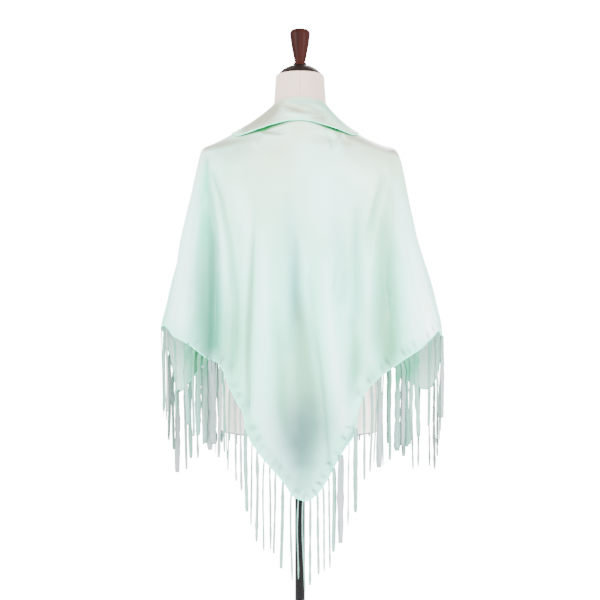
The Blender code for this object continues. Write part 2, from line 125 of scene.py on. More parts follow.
# Folds, in millimetres: top height, top across, foot height, foot across, bow, half width, depth
# and growth. Each runs down from its top to its foot, with its bow sideways half way
# down; depth is out of the cloth, below zero inwards; growth is the height over which it begins.
FOLDS = {
    "back": [
        (1262, -186.5, 870, -180, 9, 17, -18, 220), (1225, -168, 870, -152, 3, 8, 5, 80),
        (1240, -174, 850, -133, 20, 8, -6, 80), (1190, -220, 860, -242, 0, 20, 8, 140),
        (1130, -119, 800, -118, 0, 10, 3, 140), (1160, -89.4, 790, -98.5, 1, 4, -4.5, 80),
        (1120, -80, 760, -88, 0, 8, 3, 120), (980, -62, 690, -32, 0, 14, -4, 140),
        (1190, -20, 640, 6, 2, 17, -8, 140), (980, -3, 630, 8, 0, 22, -7, 180),
        (1090, 6, 740, 40, 0, 7, 4, 120), (1050, 15, 620, 61.5, 2, 6, -4, 100),
        (1020, 56, 700, 80, 0, 13, 4, 160), (1180, 110.5, 800, 89, 6, 10, -6, 140),
        (1110, 130, 840, 122, 0, 11, 5, 140), (1240, 168, 1120, 136, 0, 6, -5, 40),
        (1205, 174, 860, 180, -3, 19, -14, 200), (1120, 208, 860, 236, 0, 20, 8, 140),
    ],
    "front": [
        (1120, -245, 780, -266, 0, 26, 10, 140), (1150, -175, 760, -206, 3, 26, -28, 160),
        (1080, -215, 790, -232, 0, 9, -4, 100), (1120, -120, 700, -140, 0, 26, 12, 160),
        (1020, -132, 720, -158, 3, 9, -5, 120), (1080, -78, 620, -82, 4, 18, -10, 140),
        (1160, -44, 620, -48, 0, 16, 5, 120), (1120, 248, 780, 270, 0, 26, 10, 140),
        (1140, 178, 760, 210, -3, 26, -28, 160), (1060, 220, 790, 240, 0, 9, -4, 100),
        (1130, 125, 700, 143, 0, 26, 12, 160), (1000, 138, 720, 162, 3, 8, -5, 120),
        (1060, 74, 620, 84, 3, 18, -10, 140), (1140, 42, 620, 46, 0, 16, 5, 120),
    ],
}
FOLD_FADE = 0.10

# Streaks of painted light on the satin, by face and kind: pale and light are painted highlights,
# the others painted shade in the folds, creases and hollows. Each runs through its points: across,
# height and half width in millimetres, strength in hundredths. Those of the back give way to
# those of the front round the sides.
TINT_FADE_START = 0.47
TINT_FADE = 0.13
STREAK_UNITS = (MM, MM, MM, HUNDREDTHS)
SHADE_AND_HIGHLIGHT_STREAKS = {
    ("back", "pale"): [
        [(-214, 1207, 11.7, 45), (-225, 1139, 15.7, 80), (-239, 1051, 19.7, 90),
         (-242, 962, 21.7, 90)],
        [(-165, 1211, 4.9, 35), (-154, 1139, 5.9, 55), (-150, 1071, 7.8, 60), (-147, 1012, 7.9, 25),
         (-143, 952, 7.9, 10)],
        [(-73, 1120, 11.7, 35), (-72, 1061, 13.7, 70), (-70, 992, 13.7, 80), (-74, 903, 11.8, 60),
         (-82, 814, 9.9, 45), (-88, 764, 9.9, 50)],
        [(7, 1100, 4.9, 30), (13, 1041, 5.9, 40), (18, 982, 5.9, 20), (22, 943, 5.9, 10)],
        [(50, 1067, 11.7, 50), (54, 992, 11.8, 80), (62, 913, 13.8, 95), (72, 844, 13.8, 100),
         (80, 794, 15.8, 100), (84, 744, 13.8, 90)],
        [(132, 1100, 9.8, 40), (134, 1012, 9.8, 70), (134, 933, 8.8, 40), (139, 870, 9.8, 50)],
        [(192, 1217, 11.7, 50), (206, 1158, 15.7, 75), (221, 1090, 19.6, 95),
         (237, 1011, 27.5, 110), (247, 932, 31.6, 120)],
        [(-63, 684, 7.9, 20), (-29, 654, 7.9, 20)],
        [(-74, 784, 9.9, 50), (-66, 730, 9.9, 60), (-47, 702, 5.9, 50)],
        [(-116, 1198, 17.5, 40), (-105, 1139, 13.7, 50), (-105, 1067, 9.8, 50),
         (-111, 992, 7.8, 20)],
        [(-96, 1306, 4, 50), (-88, 1290, 4.4, 60), (-75, 1280, 4.8, 30)],
        [(88, 1313, 3, 40), (80, 1298, 3.6, 50), (72, 1284, 4, 30)],
        [(-47, 1360, 5, 30), (-15, 1355, 5, 60), (25, 1354, 4.4, 50)],
    ],
    ("back", "light"): [
        [(221, 1109, 9.8, 15), (242, 1030, 17.8, 40), (258, 967, 19.8, 70), (266, 921, 17.8, 80)],
        [(-124, 1207, 15.6, 10), (-112, 1165, 15.6, 20), (-93, 1120, 11.7, 12)],
        [(89, 1246, 23.5, 10), (134, 1223, 23.5, 20), (162, 1188, 15.7, 15)],
    ],
    ("back", "teal"): [
        [(-25, 1188, 15.6, 20), (-19, 1129, 17.6, 45), (-13, 1071, 15.7, 60), (-11, 1012, 15.7, 80),
         (-13, 943, 15.7, 70), (-19, 893, 11.8, 30)],
        [(73, 1159, 11.7, 10), (75, 1110, 15.6, 30), (87, 1041, 13.7, 35), (81, 992, 11.8, 30)],
        [(112, 1169, 7.8, 35), (108, 1100, 9.8, 50), (113, 1022, 8.8, 40), (103, 943, 9.8, 40)],
        [(-169, 1120, 4.9, 30), (-167, 1012, 5.9, 70), (-168, 903, 5.9, 70)],
        [(-19, 1383, 5, 40), (11, 1383, 5, 50), (33, 1379, 5, 50)],
    ],
    ("back", "green"): [
        [(-173, 1242, 3.5, 45), (-159, 1198, 5.1, 65), (-146, 1145, 5.9, 50), (-134, 1080, 6.9, 45),
         (-125, 992, 9.8, 55), (-125, 913, 9.8, 65), (-133, 857, 7.9, 50)],
        [(-50, 973, 11.8, 15), (-39, 903, 15.7, 50), (-37, 844, 17.7, 70), (-35, 784, 17.8, 80),
         (-27, 730, 9.9, 50)],
        [(103, 953, 7.9, 25), (109, 903, 12.8, 75), (109, 858, 13.8, 90), (103, 818, 9.9, 60),
         (99, 784, 7.9, 20)],
        [(175, 1207, 9.8, 25), (169, 1129, 17.6, 55), (172, 1060, 21.6, 68), (172, 991, 25.6, 80),
         (174, 932, 27.6, 100), (177, 892, 23.7, 105), (173, 864, 17.8, 75)],
        [(165, 1235, 3.5, 30), (153, 1198, 5.5, 55), (144, 1166, 5.9, 55), (138, 1133, 5.9, 30)],
        [(37, 1383, 6, 50), (57, 1370, 10, 75), (77, 1352, 11, 75), (93, 1334, 8, 60)],
    ],
    ("back", "olive"): [
        [(-89, 1163, 3.1, 15), (-92, 1110, 3.5, 40), (-97, 1032, 5.5, 70), (-101, 953, 7.1, 90),
         (-103, 893, 7.1, 90), (-103, 808, 4.7, 60), (-104, 770, 4.3, 30)],
        [(-1, 996, 9.8, 50), (1, 949, 17.7, 85), (5, 903, 23.6, 85), (7, 854, 31.5, 82),
         (9, 804, 39.5, 82), (9, 758, 49.4, 85)],
        [(73, 1067, 3.9, 20), (65, 1012, 3.9, 30)],
        [(-117, 1032, 17.6, 10), (-117, 943, 19.6, 16), (-113, 850, 15.8, 20)],
        [(165, 1139, 15.7, 15), (168, 1070, 17.7, 25), (168, 991, 19.7, 40), (172, 912, 19.7, 50),
         (175, 872, 15.8, 40)],
    ],
    ("back", "valley"): [
        [(-185, 1262, 4.9, 30), (-181, 1217, 8.8, 40), (-176, 1158, 11.8, 50),
         (-174, 1090, 16.7, 80), (-176, 1021, 20.7, 90), (-176, 952, 24.6, 95),
         (-176, 898, 23.7, 92), (-177, 868, 15.8, 60)],
        [(-191, 1178, 15.7, 20), (-189, 1129, 17.6, 35), (-190, 1080, 23.6, 55),
         (-190, 1021, 29.5, 75), (-184, 952, 37.4, 88), (-181, 898, 39.5, 82),
         (-179, 868, 29.6, 50)],
        [(16, 1047, 4.9, 12), (22, 992, 7.8, 24), (28, 933, 7.9, 30), (38, 874, 5.9, 34),
         (47, 808, 5.1, 36), (53, 732, 4.5, 40), (58, 680, 4, 40), (62, 646, 3.2, 30)],
    ],
    ("back", "mint"): [
        [(-185, 1266, 7.8, 50), (-187, 1227, 12.7, 95), (-187, 1178, 15.7, 110),
         (-187, 1119, 19.6, 100), (-196, 1060, 19.6, 60), (-204, 991, 17.7, 50),
         (-204, 912, 17.8, 50)],
        [(-160, 1041, 7.9, 30), (-157, 991, 11.8, 70), (-159, 942, 13.8, 80),
         (-159, 898, 11.8, 60)],
    ],
    ("back", "slate"): [
        [(-7, 1114, 5.9, 25), (-8, 1051, 9.8, 48), (-8, 992, 10.8, 62), (-5, 957, 9.8, 50)],
        [(22, 818, 27.6, 25), (17, 776, 41.5, 68), (7, 742, 53.4, 95), (1, 712, 51.4, 104),
         (3, 676, 41.6, 92), (5, 646, 29.7, 62)],
        [(60, 714, 5.9, 30), (54, 684, 7.9, 40)],
        [(113, 758, 5.9, 40), (102, 722, 7.9, 70), (86, 698, 5.9, 40)],
        [(-62, 699, 11.9, 35), (-43, 671, 19.8, 50), (-19, 647, 21.8, 55), (5, 623, 21.8, 50),
         (32, 649, 17.8, 35), (52, 679, 9.9, 30)],
    ],
    ("back", "warm"): [
        [(-190, 1290, 7.9, 95), (-154, 1298, 8.9, 95), (-122, 1304, 8.9, 75), (-83, 1308, 9.9, 40)],
        [(96, 1312, 7.9, 70), (130, 1304, 9.9, 100), (170, 1292, 10.9, 110), (195, 1282, 8.9, 100)],
        [(-185, 1270, 15.8, 30), (-118, 1286, 17.7, 30), (-49, 1290, 17.7, 15)],
        [(90, 1292, 15.8, 20), (139, 1280, 13.8, 15), (182, 1266, 11.8, 25)],
        [(-83, 1323, 3.2, 40), (-65, 1319, 3.6, 90), (-41, 1317, 3.2, 90), (-27, 1319, 2.4, 30)],
        [(44, 1310, 3.6, 30), (58, 1304, 4, 60), (62, 1290, 4, 40)],
        [(82, 1319, 3, 60), (74, 1308, 3.2, 60), (66, 1298, 2.8, 30)],
        [(-113, 1324, 8, 90), (-95, 1338, 12, 120), (-69, 1354, 17, 135), (-51, 1368, 14, 120),
         (-37, 1379, 8, 60)],
        [(21, 1352, 6, 40), (45, 1350, 8, 70)],
        [(25, 1304, 7.9, 20), (60, 1302, 7.9, 30), (100, 1298, 7.9, 50)],
        [(-37, 1374, 3.6, 70), (-15, 1367, 4.8, 110), (11, 1360, 6, 80), (37, 1358, 6, 60)],
        [(-3, 1377, 3, 40), (23, 1370, 3.6, 70), (45, 1360, 3.6, 50)],
    ],
    ("front", "valley"): [
        [(-176, 1110, 8, 40), (-192, 960, 15, 80), (-204, 800, 16, 80)],
        [(178, 1110, 8, 40), (194, 960, 15, 80), (208, 800, 16, 80)],
    ],
    ("front", "green"): [
        [(-78, 1040, 8, 30), (-78, 850, 12, 60), (-82, 700, 12, 50)],
        [(74, 1020, 8, 30), (81, 840, 12, 60), (84, 700, 12, 50)],
    ],
    ("front", "pale"): [
        [(-121, 1060, 10, 40), (-132, 880, 16, 80), (-140, 760, 16, 70)],
        [(126, 1060, 10, 40), (136, 880, 16, 80), (143, 760, 16, 70)],
    ],
    ("front", "olive"): [
        [(-133, 960, 3.5, 50), (-150, 800, 4, 60)], [(139, 950, 3.5, 50), (156, 790, 4, 60)],
    ],
    ("front", "warm"): [
        [(-190, 1270, 14, 60), (-120, 1255, 16, 40), (-60, 1260, 16, 20)],
        [(190, 1270, 14, 60), (120, 1255, 16, 40), (60, 1260, 16, 20)],
    ],
}

# Collar: how far down the yoke its edge reaches, and how far that edge stands off the cloth
COLLAR = [
    # round, left, right, stands off left, stands off right
    (0.0, 0.297, 0.297, 0.003, 0.003), (0.08, 0.306, 0.297, 0.0055, 0.0045),
    (0.14, 0.345, 0.317, 0.0095, 0.0065), (0.2, 0.39, 0.352, 0.0098, 0.0088),
    (0.24, 0.443, 0.386, 0.0098, 0.0095), (0.28, 0.487, 0.405, 0.0065, 0.0058),
    (0.32, 0.545, 0.447, 0.004, 0.0035), (0.35, 0.582, 0.475, 0.0022, 0.0025),
    (0.39, 0.588, 0.474, 0.001, 0.001), (0.43, 0.578, 0.458, 0.0006, 0.0006),
    (0.5, 0.54, 0.425, 0.0006, 0.0006), (0.62, 0.48, 0.35, 0.001, 0.001),
    (0.75, 0.28, 0.24, 0.001, 0.001), (0.86, 0.06, 0.06, 0.001, 0.001),
    (0.9, 0.02, 0.02, 0.001, 0.001), (1.0, 0.02, 0.02, 0.001, 0.001),
]

# Small creases on the yoke under the collar and on the collar: short soft troughs and ridges. Each
# has its place across, height, length and half width in millimetres, its slant in degrees from
# level, and its depth in millimetres.
CREASE_UNITS = (MM, MM, MM, MM, 1.0, MM)
CREASES = [
    (-50, 1326, 34, 4, 6, -4.4), (-52, 1318, 34, 4.5, 10, 2.2), (-78, 1315, 28, 4.5, 50, -2.4),
    (-90, 1303, 26, 4, 62, 2.2), (60, 1310, 30, 4, 118, -3.6), (74, 1308, 34, 4, 124, 2.8),
    (82, 1312, 26, 3.5, 122, -2.6), (40, 1316, 34, 5, 8, -1.6), (98, 1302, 34, 5, 110, -1.6),
    (177, 1001, 36, 4, -52, -1.4), (-205, 905, 30, 4.5, 38, -1.2),
]
COLLAR_CREASES = [
    (-16, 1363, 40, 3.5, -8, -2.2), (-38, 1374, 22, 3, 20, -1.6), (26, 1366, 36, 3, -12, -1.8),
    (30, 1358, 44, 3.5, -16, 1.4), (-20, 1354, 56, 4, 4, 1.4), (62, 1350, 36, 4, -42, -1.6),
    (-70, 1346, 44, 4, 40, -1.4),
]

# Fringe
STRAND_PITCH = 0.0215
STRAND_LENGTH = 0.172
STRAND_SPREAD = 0.011
STRAND_WIDTHS = (0.0042, 0.0085)
WIDE_STRAND = 0.0125
WIDE_SHARE = 0.14
STRAND_THICKNESS = 0.0011
STRAND_CLEAR = 0.0085
STRAND_SWAY = 0.0035
STRAND_TURN = 28.0
ROOT_OFF = 0.0016
ROOT_LENGTH = 0.012
ROOT_WIDTH = 0.78
BEHIND_Y = -0.045
# across and width in millimetres, shares of lilac and of painted green shade at the root in
# hundredths
STRAND_UNITS = (MM, MM, HUNDREDTHS, HUNDREDTHS)
BACK_STRANDS = [
    (-269, 12.1, 95, 0), (-250, 5, 10, 100), (-225, 10, 20, 100), (-210, 6, 20, 100),
    (-199, 10.9, 10, 100), (-188, 10.9, 50, 90), (-181, 12.9, 85, 30), (-173, 13.5, 90, 20),
    (-165, 13.5, 95, 20), (-157, 11.9, 80, 40), (-151, 4, 10, 80), (-146, 3, 30, 60),
    (-138, 3, 30, 50), (-128, 4.9, 80, 30), (-117, 4.9, 90, 20), (-106, 7.9, 20, 0),
    (-94, 4, 40, 20), (-84, 5.9, 50, 0), (-70, 4, 30, 0), (-59, 4.9, 30, 0), (-48, 4.3, 20, 0),
    (-33, 6.9, 20, 0), (-17, 4, 30, 0), (-3, 3.2, 20, 0), (6, 3.2, 20, 0), (20, 4.9, 40, 0),
    (34, 4.9, 30, 0), (45, 4.3, 30, 0), (56, 4.3, 30, 0), (66, 7.9, 15, 0), (80, 12.8, 95, 0),
    (96, 4.3, 30, 0), (109, 8.9, 30, 0), (124, 5.9, 30, 0), (140, 5, 40, 0), (149, 3.6, 30, 30),
    (156, 12.9, 85, 50), (165, 4.4, 40, 40), (179, 7, 20, 70), (194, 11.9, 30, 100),
    (202, 11.9, 85, 80), (210, 11, 20, 100), (219, 9, 20, 100), (231, 10, 20, 100),
    (260, 9.1, 25, 80), (272, 6.1, 50, 40), (285, 8.1, 90, 0),
]
STRAND_LINES = 18
STRAND_SIDES = 8
CORD_RADIUS = 0.0011
CORD_STEP = 0.0016
CORD_SIDES = 6
CORD_OUT = 0.0004
THREAD_PITCH = 0.0045
THREAD_SHARE = 0.16
KNOT_HEIGHT = 0.0007
KNOT_SIZE = 0.0016
HEM_LINES = 16
PUCKER_INSIDE = 0.0135
PUCKER_DEPTH = 0.0026
PUCKER_SIZE = 0.0036
PUCKER_LENGTH = 0.0095
PUCKER_REACH = 0.03
PUCKER_PAINTED_SHADE_FRONT = 0.45

# Painted shade: a faint green line where the cloth turns away round each side
SIDE_PAINTED_SHADE = 0.20
SIDE_PAINTED_SHADE_WIDTH = 0.016

# Dress form
TORSO = [
    # height, half width, back, front
    (1.190, 0.1940, 0.110, 0.112), (1.130, 0.1820, 0.106, 0.122), (1.070, 0.1640, 0.100, 0.121),
    (1.010, 0.1430, 0.094, 0.106), (0.955, 0.1340, 0.092, 0.098), (0.900, 0.1400, 0.097, 0.098),
    (0.840, 0.1540, 0.105, 0.102), (0.785, 0.1640, 0.109, 0.105), (0.740, 0.1670, 0.109, 0.105),
    (0.718, 0.1650, 0.108, 0.104),
]
TORSO_RIM = 0.718
TORSO_LOW = 0.714
TORSO_COLUMNS = 192
TORSO_YOKE_LINES = 30
NECK_TOP_HEIGHT = 1.4345
NECK_TOP_RADIUS = 0.0490
NECK_TOP_Y = 0.010
NECK_TILT = math.radians(8.5)
NECK_EDGE = 0.003
TORSO_EASE = 0.0035
# where each seam lies round the form, and the ring at which it starts
TORSO_SEAMS = [(0.0, 0), (0.36, 40), (-0.36, 40), (0.66, 40), (-0.66, 40), (1.0, 0)]
RIM_TUCK = 0.0035
SEAM_SIZE = 0.0022
SEAM_DEPTH = 0.0006

# Colours, as linear values
MINT_HIGH = (0.400, 0.490, 0.345)
MINT_LOW = (0.210, 0.670, 0.510)
MINT_PAINTED_SHEEN = (0.400, 0.700, 0.660)
MINT_GREEN = (0.160, 0.470, 0.310)
MINT_PAINTED_SHADE_UNDER_COLLAR = (0.002, 0.190, 0.045)
MINT_INSIDE = (0.330, 0.920, 0.720)
MINT_INSIDE_PAINTED_LIGHT = (0.730, 1.000, 0.940)
MINT_INSIDE_PAINTED_SHADE = (0.004, 0.150, 0.052)
MINT_INSIDE_BACK = (0.190, 0.560, 0.420)
COLLAR_GREY = (0.300, 0.370, 0.260)
COLLAR_MINT = (0.330, 0.520, 0.390)
# Colours of the painted light: pale and light are painted highlights, the others painted shade.
SHADE_AND_HIGHLIGHT_COLOURS = [
    # kind, colour
    ("pale", (0.440, 0.740, 0.710)),
    ("light", (0.740, 0.950, 0.910)),
    ("mint", (0.090, 0.560, 0.390)),
    ("teal", (0.080, 0.340, 0.300)),
    ("green", (0.050, 0.300, 0.165)),
    ("olive", (0.100, 0.250, 0.150)),
    ("warm", (0.170, 0.185, 0.125)),
    ("valley", (0.003, 0.150, 0.085)),
    ("slate", (0.054, 0.128, 0.118)),
]
STRAND_MINT = (0.120, 0.300, 0.245)
STRAND_LILAC = (0.270, 0.265, 0.305)
STRAND_RIM_AND_ROOT_SHADE = (0.012, 0.190, 0.100)
STRAND_SHADE = (0.085, 0.170, 0.125)
THREAD_DARK = (0.080, 0.66, 0.47)
THREAD_LIGHT = (0.180, 0.86, 0.66)

COVER_NECK = (0.395, 0.297, 0.246)
COVER_NECK_PALE = (0.450, 0.345, 0.287)
COVER_LOW = (0.900, 0.850, 0.790)
COVER_SEAM = (0.220, 0.160, 0.135)
COVER_RIM = (0.110, 0.060, 0.045)

CAP_PROFILE = [(0.0, 0.0205), (0.006, 0.0204), (0.012, 0.0199), (0.018, 0.0189), (0.024, 0.0170),
               (0.029, 0.0146), (0.034, 0.0115), (0.038, 0.0083), (0.041, 0.0052), (0.0432, 0.0030),
               (0.0440, 0.0015), (0.0438, 0.0004), (0.0430, 0.0), (0.0, 0.0)]
FINIAL_PROFILE = [(0.0, 0.074), (0.006, 0.0739), (0.012, 0.0735), (0.016, 0.0724),
                  (0.0186, 0.0705), (0.0201, 0.068), (0.0205, 0.0645), (0.0203, 0.061),
                  (0.018, 0.043), (0.0145, 0.025), (0.0117, 0.011), (0.0108, 0.0075),
                  (0.0105, 0.006), (0.0112, 0.0052), (0.0125, 0.0045), (0.0131, 0.003),
                  (0.013, 0.0015), (0.0124, 0.0), (0.0, 0.0)]
HUB_TOP = 0.046
BASE_PROFILE = [(0.0, HUB_TOP), (0.0205, HUB_TOP), (0.0222, 0.0455), (0.0235, 0.044),
                (0.0238, 0.033), (0.0242, 0.0262), (0.0262, 0.0225), (0.03, 0.0205), (0.06, 0.0182),
                (0.12, 0.015), (0.165, 0.0128), (0.18, 0.012), (0.1855, 0.0108), (0.1885, 0.009),
                (0.19, 0.006), (0.1892, 0.0025), (0.1875, 0.0006), (0.186, 0.0), (0.0, 0.0)]
POLE_RADIUS = 0.0105
POLE_EDGE = 0.0008
PLATE_HALF_WIDTH = 0.110
PLATE_HALF_DEPTH = 0.060
PLATE_THICKNESS = 0.006
GAP = 0.0003


def smooth_step(value):
    value = np.clip(value, 0.0, 1.0)
    return value * value * (3.0 - 2.0 * value)


def from_rows(rows, column, keys):
    # A column of a table read at the keys along a smooth curve that keeps between its rows.
    ordered = sorted((row[0], row[column]) for row in rows)
    x = np.array([row[0] for row in ordered])
    y = np.array([row[1] for row in ordered])
    step = np.diff(x)
    slope = np.diff(y) / step
    turn = np.zeros_like(y)
    same = slope[:-1] * slope[1:] > 0
    weight_a = 2.0 * step[1:] + step[:-1]
    weight_b = step[1:] + 2.0 * step[:-1]
    mean = np.zeros_like(slope[1:])
    mean[same] = ((weight_a + weight_b)[same]
                  / (weight_a[same] / slope[:-1][same] + weight_b[same] / slope[1:][same]))
    turn[1:-1] = mean
    turn[0] = slope[0]
    turn[-1] = slope[-1]
    keys = np.clip(np.asarray(keys, dtype=float), x[0], x[-1])
    piece = np.clip(np.searchsorted(x, keys) - 1, 0, len(step) - 1)
    t = (keys - x[piece]) / step[piece]
    h = step[piece]
    return ((2 * t ** 3 - 3 * t ** 2 + 1) * y[piece] + (t ** 3 - 2 * t ** 2 + t) * h * turn[piece]
            + (-2 * t ** 3 + 3 * t ** 2) * y[piece + 1] + (t ** 3 - t ** 2) * h * turn[piece + 1])


def make_plan_table(samples=2881):
    # Points of a rounded oval at equal shares of its girth, for a body wider than it is deep.
    angles = np.linspace(0.0, math.pi, samples)
    across = np.sin(angles).clip(0.0) ** (2.0 / PLAN_POWER)
    back = np.sign(np.cos(angles)) * np.abs(np.cos(angles)) ** (2.0 / PLAN_POWER)
    steps = np.hypot(np.diff(0.25 * across), np.diff(0.13 * back))
    shares = np.concatenate([[0.0], np.cumsum(steps)])
    return shares / shares[-1], across, back


PLAN_SHARES, PLAN_ACROSS, PLAN_BACK = make_plan_table()


def plan(place):
    across = np.interp(np.abs(place), PLAN_SHARES, PLAN_ACROSS)
    back = np.interp(np.abs(place), PLAN_SHARES, PLAN_BACK)
    return np.sign(place) * across, back


def by_side(place, left, right):
    return np.where(place < 0, left, right)


def side_rows(rows, column, place):
    # A table by places round the body, with the left side's column followed by the right side's.
    keys = np.abs(place)
    return by_side(place, from_rows(rows, column, keys), from_rows(rows, column + 1, keys))


def bell(value, size):
    return np.exp(-(value / size) ** 2)


def unit(vectors):
    return vectors / np.linalg.norm(vectors, axis=-1, keepdims=True)


def hang_points(place, height):
    across, back = plan(place)
    left, right, behind, front = (from_rows(HANG, column, height) for column in (1, 2, 3, 4))
    half_width = by_side(place, left, right)
    half_depth = np.where(np.abs(place) < 0.5, behind, front)
    return np.stack([half_width * across, -half_depth * back, height + 0.0 * across], axis=-1)


def plan_normals(place, height):
    step = 0.003
    run = hang_points(place + step, height) - hang_points(place - step, height)
    return unit(np.stack([run[..., 1], -run[..., 0], 0.0 * run[..., 0]], axis=-1))


def edge_height(place):
    side = np.abs(np.sin(math.pi * place)) ** 2.5
    middle = np.where(np.abs(place) < 0.5, EDGE_HEIGHT_BACK, EDGE_HEIGHT_FRONT)
    return middle + (EDGE_HEIGHT_SIDE - middle) * side


def neck_points(place):
    turn = math.pi * place
    back = np.cos(turn)
    rise = np.where(back > 0, NECK_RISE_BACK, NECK_FALL_FRONT)
    return np.stack([NECK_HALF_WIDTH * np.sin(turn), NECK_CENTRE_Y - NECK_HALF_DEPTH * back,
                     NECK_SIDE_HEIGHT + rise * back], axis=-1)


def yoke_points(place, share):
    # The cloth on the shoulders, from the neck (share 0) to the shoulder edge (share 1).
    side = np.abs(np.sin(math.pi * place)) ** 1.5
    outwards = (1.0 - side) * smooth_step(share) + side * share
    bend = by_side(place, SHOULDER_BEND_LEFT, SHOULDER_BEND_RIGHT)
    downwards = (1.0 - side) * share + side * (1.0 - (1.0 - share) ** bend)
    neck = neck_points(place)
    edge = hang_points(place, edge_height(place))
    flat = neck[..., :2] + (edge[..., :2] - neck[..., :2]) * outwards[..., None]
    height = neck[..., 2] + (edge[..., 2] - neck[..., 2]) * downwards
    return np.concatenate([flat, height[..., None]], axis=-1)


def fold_shift(points, place):
    # How far the folds move each point of the hanging cloth outwards.
    x, z = points[..., 0], points[..., 2]
    back_face = np.abs(place) < 0.5
    shift = np.zeros_like(x)
    for face, rows in FOLDS.items():
        on_face = back_face == (face == "back")
        for top, x_top, foot, x_foot, bow, half_width, depth, growth in np.array(rows) / MM:
            along = np.clip((top - z) / (top - foot), 0.0, 1.0)
            across = x_top + (x_foot - x_top) * along + bow * np.sin(math.pi * along)
            offset = np.clip(np.abs(x - across) / (2.0 * half_width), 0.0, 1.0)
            grown = smooth_step((top + 0.02 - z) / growth)
            kept = smooth_step((z - foot + FOLD_FADE) / FOLD_FADE)
            bump = depth * grown * kept * 0.5 * (1.0 + np.cos(math.pi * offset))
            shift += np.where(on_face, bump, 0.0)
    return shift


def ripple_shift(points, place, below):
    # Long shallow unevenness of hanging satin: slow waves across, slower ones down.
    x, z = points[..., 0], points[..., 2]
    girth = place * 0.66
    shift = np.zeros_like(x)
    for i, (wave, tall, size) in enumerate(((0.083, 0.9, 0.0010), (0.051, 0.6, 0.0008),
                                            (0.034, 0.45, 0.0006), (0.021, 0.30, 0.00035))):
        turn = 2.0 * math.pi * (girth / wave + 0.35 * np.sin(2.0 * math.pi * z / tall + 1.7 * i))
        swell = 0.6 + 0.4 * np.sin(2.0 * math.pi * z / (tall * 0.7) + i)
        shift += size * np.sin(turn + 2.3 * i) * swell
    return shift * smooth_step(below / 0.30)


def crease_shift(points, creases):
    # Short soft creases at their own places on the back of the yoke or collar.
    x, y, z = points[..., 0], points[..., 1], points[..., 2]
    shift = np.zeros_like(x)
    for across, height, length, half_width, slant, depth in np.array(creases) / CREASE_UNITS:
        angle = math.radians(slant)
        run = (x - across) * math.cos(angle) + (z - height) * math.sin(angle)
        rise = -(x - across) * math.sin(angle) + (z - height) * math.cos(angle)
        size = np.exp(-(run / (0.5 * length)) ** 2 - (rise / half_width) ** 2)
        shift += np.where(y < 0.0, depth * size, 0.0)
    return shift


def shade_and_highlight_at(points, place, wanted):
    # How strongly each point lies in one of the streaks of painted shade or painted highlight of a
    # kind.
    x, z = points[..., 0], points[..., 2]
    front_share = smooth_step((np.abs(place) - TINT_FADE_START) / TINT_FADE)
    tint = np.zeros_like(x)
    for face, face_share in (("back", 1.0 - front_share), ("front", front_share)):
        for streak in SHADE_AND_HIGHLIGHT_STREAKS.get((face, wanted), []):
            rows = np.array(streak) / STREAK_UNITS
            for (x0, z0, half0, strong0), (x1, z1, half1, strong1) in zip(rows, rows[1:]):
                run, rise = x1 - x0, z1 - z0
                along = ((x - x0) * run + (z - z0) * rise) / (run ** 2 + rise ** 2)
                along = np.clip(along, 0.0, 1.0)
                apart = np.hypot(x - x0 - run * along, z - z0 - rise * along)
                strong = strong0 + (strong1 - strong0) * along
                near = bell(apart, half0 + (half1 - half0) * along)
                tint = np.maximum(tint, strong * near * face_share)
    return np.minimum(tint, 1.0)


def grid_normals(grid):
    return unit(np.cross(np.gradient(grid, axis=0), np.gradient(grid, axis=1)))


def even(rows, start=0.0, end=1.0):
    return start + (end - start) * np.arange(rows) / (rows - 1)


def cloth_grid():
    # The whole shawl as one sheet: the collar's free edge, up to the neck fold, over it and down
    # the yoke to the shoulder edge and the hem. Also gives what the collar turns over or covers.
    spread = even(CLOTH_COLUMNS, -1.0, 1.0)[None, :]
    place = FRONT_EDGE * (0.72 * spread + 0.28 * spread ** 3)
    yoke_share = even(YOKE_LINES)[:, None]
    yoke = yoke_points(place, yoke_share)

    share = even(HANG_LINES + 1)[1:, None]
    share = 1.0 - (1.0 - share) ** 1.25
    top = edge_height(place)
    hem = side_rows(HEM, 1, place)
    height = top + (hem - top) * share
    hang = hang_points(place, height)
    shift = fold_shift(hang, place) + ripple_shift(hang, place, top - height)
    hang = hang + plan_normals(place, height) * shift[..., None]

    body = np.concatenate([yoke, hang])
    body = soften_edge(body, place[0])
    normals = grid_normals(body)
    body = body + normals * (CLOTH_LIFT + crease_shift(body, CREASES))[..., None]

    reach = side_rows(COLLAR, 1, place)
    # The yoke under the collar's edge is marked covered, so that it is painted deep-green shade
    # where it shows through the gap.
    under = smooth_step((reach - yoke_share) / UNDER_COLLAR_BAND + 0.5)
    off = side_rows(COLLAR, 3, place)
    down = even(COLLAR_LINES)[:, None]
    collar = yoke_points(place, down * reach)
    collar_normals = grid_normals(collar)
    settled = smooth_step(down / 0.6)
    lift = CLOTH_LIFT + 2.0 * FOLD_ROLL * (1.0 - settled) + COLLAR_REST * settled + off * down ** 2
    lift = lift + crease_shift(collar, COLLAR_CREASES)
    collar = collar + collar_normals * lift[..., None]

    # the roll joins the collar's top line to the body's top line over the neck fold
    centre = 0.5 * (collar[0] + body[0])
    out = collar[0] - body[0]
    radius = 0.5 * np.linalg.norm(out, axis=-1, keepdims=True)
    out = out / (2.0 * radius)
    up = yoke[0] - yoke[1]
    up = unit(up - out * np.sum(up * out, axis=-1, keepdims=True))
    roll = []
    for i in range(1, ROLL_LINES + 1):
        turn = math.pi * i / (ROLL_LINES + 1)
        roll.append(centre + radius * (out * math.cos(turn) + up * math.sin(turn)))
    grid = np.concatenate([collar[::-1], np.array(roll), body])
    turned = np.ones((COLLAR_LINES + ROLL_LINES, CLOTH_COLUMNS))
    covered = np.concatenate([turned, under, np.zeros(hang.shape[:2])])
    return grid, covered, place[0]


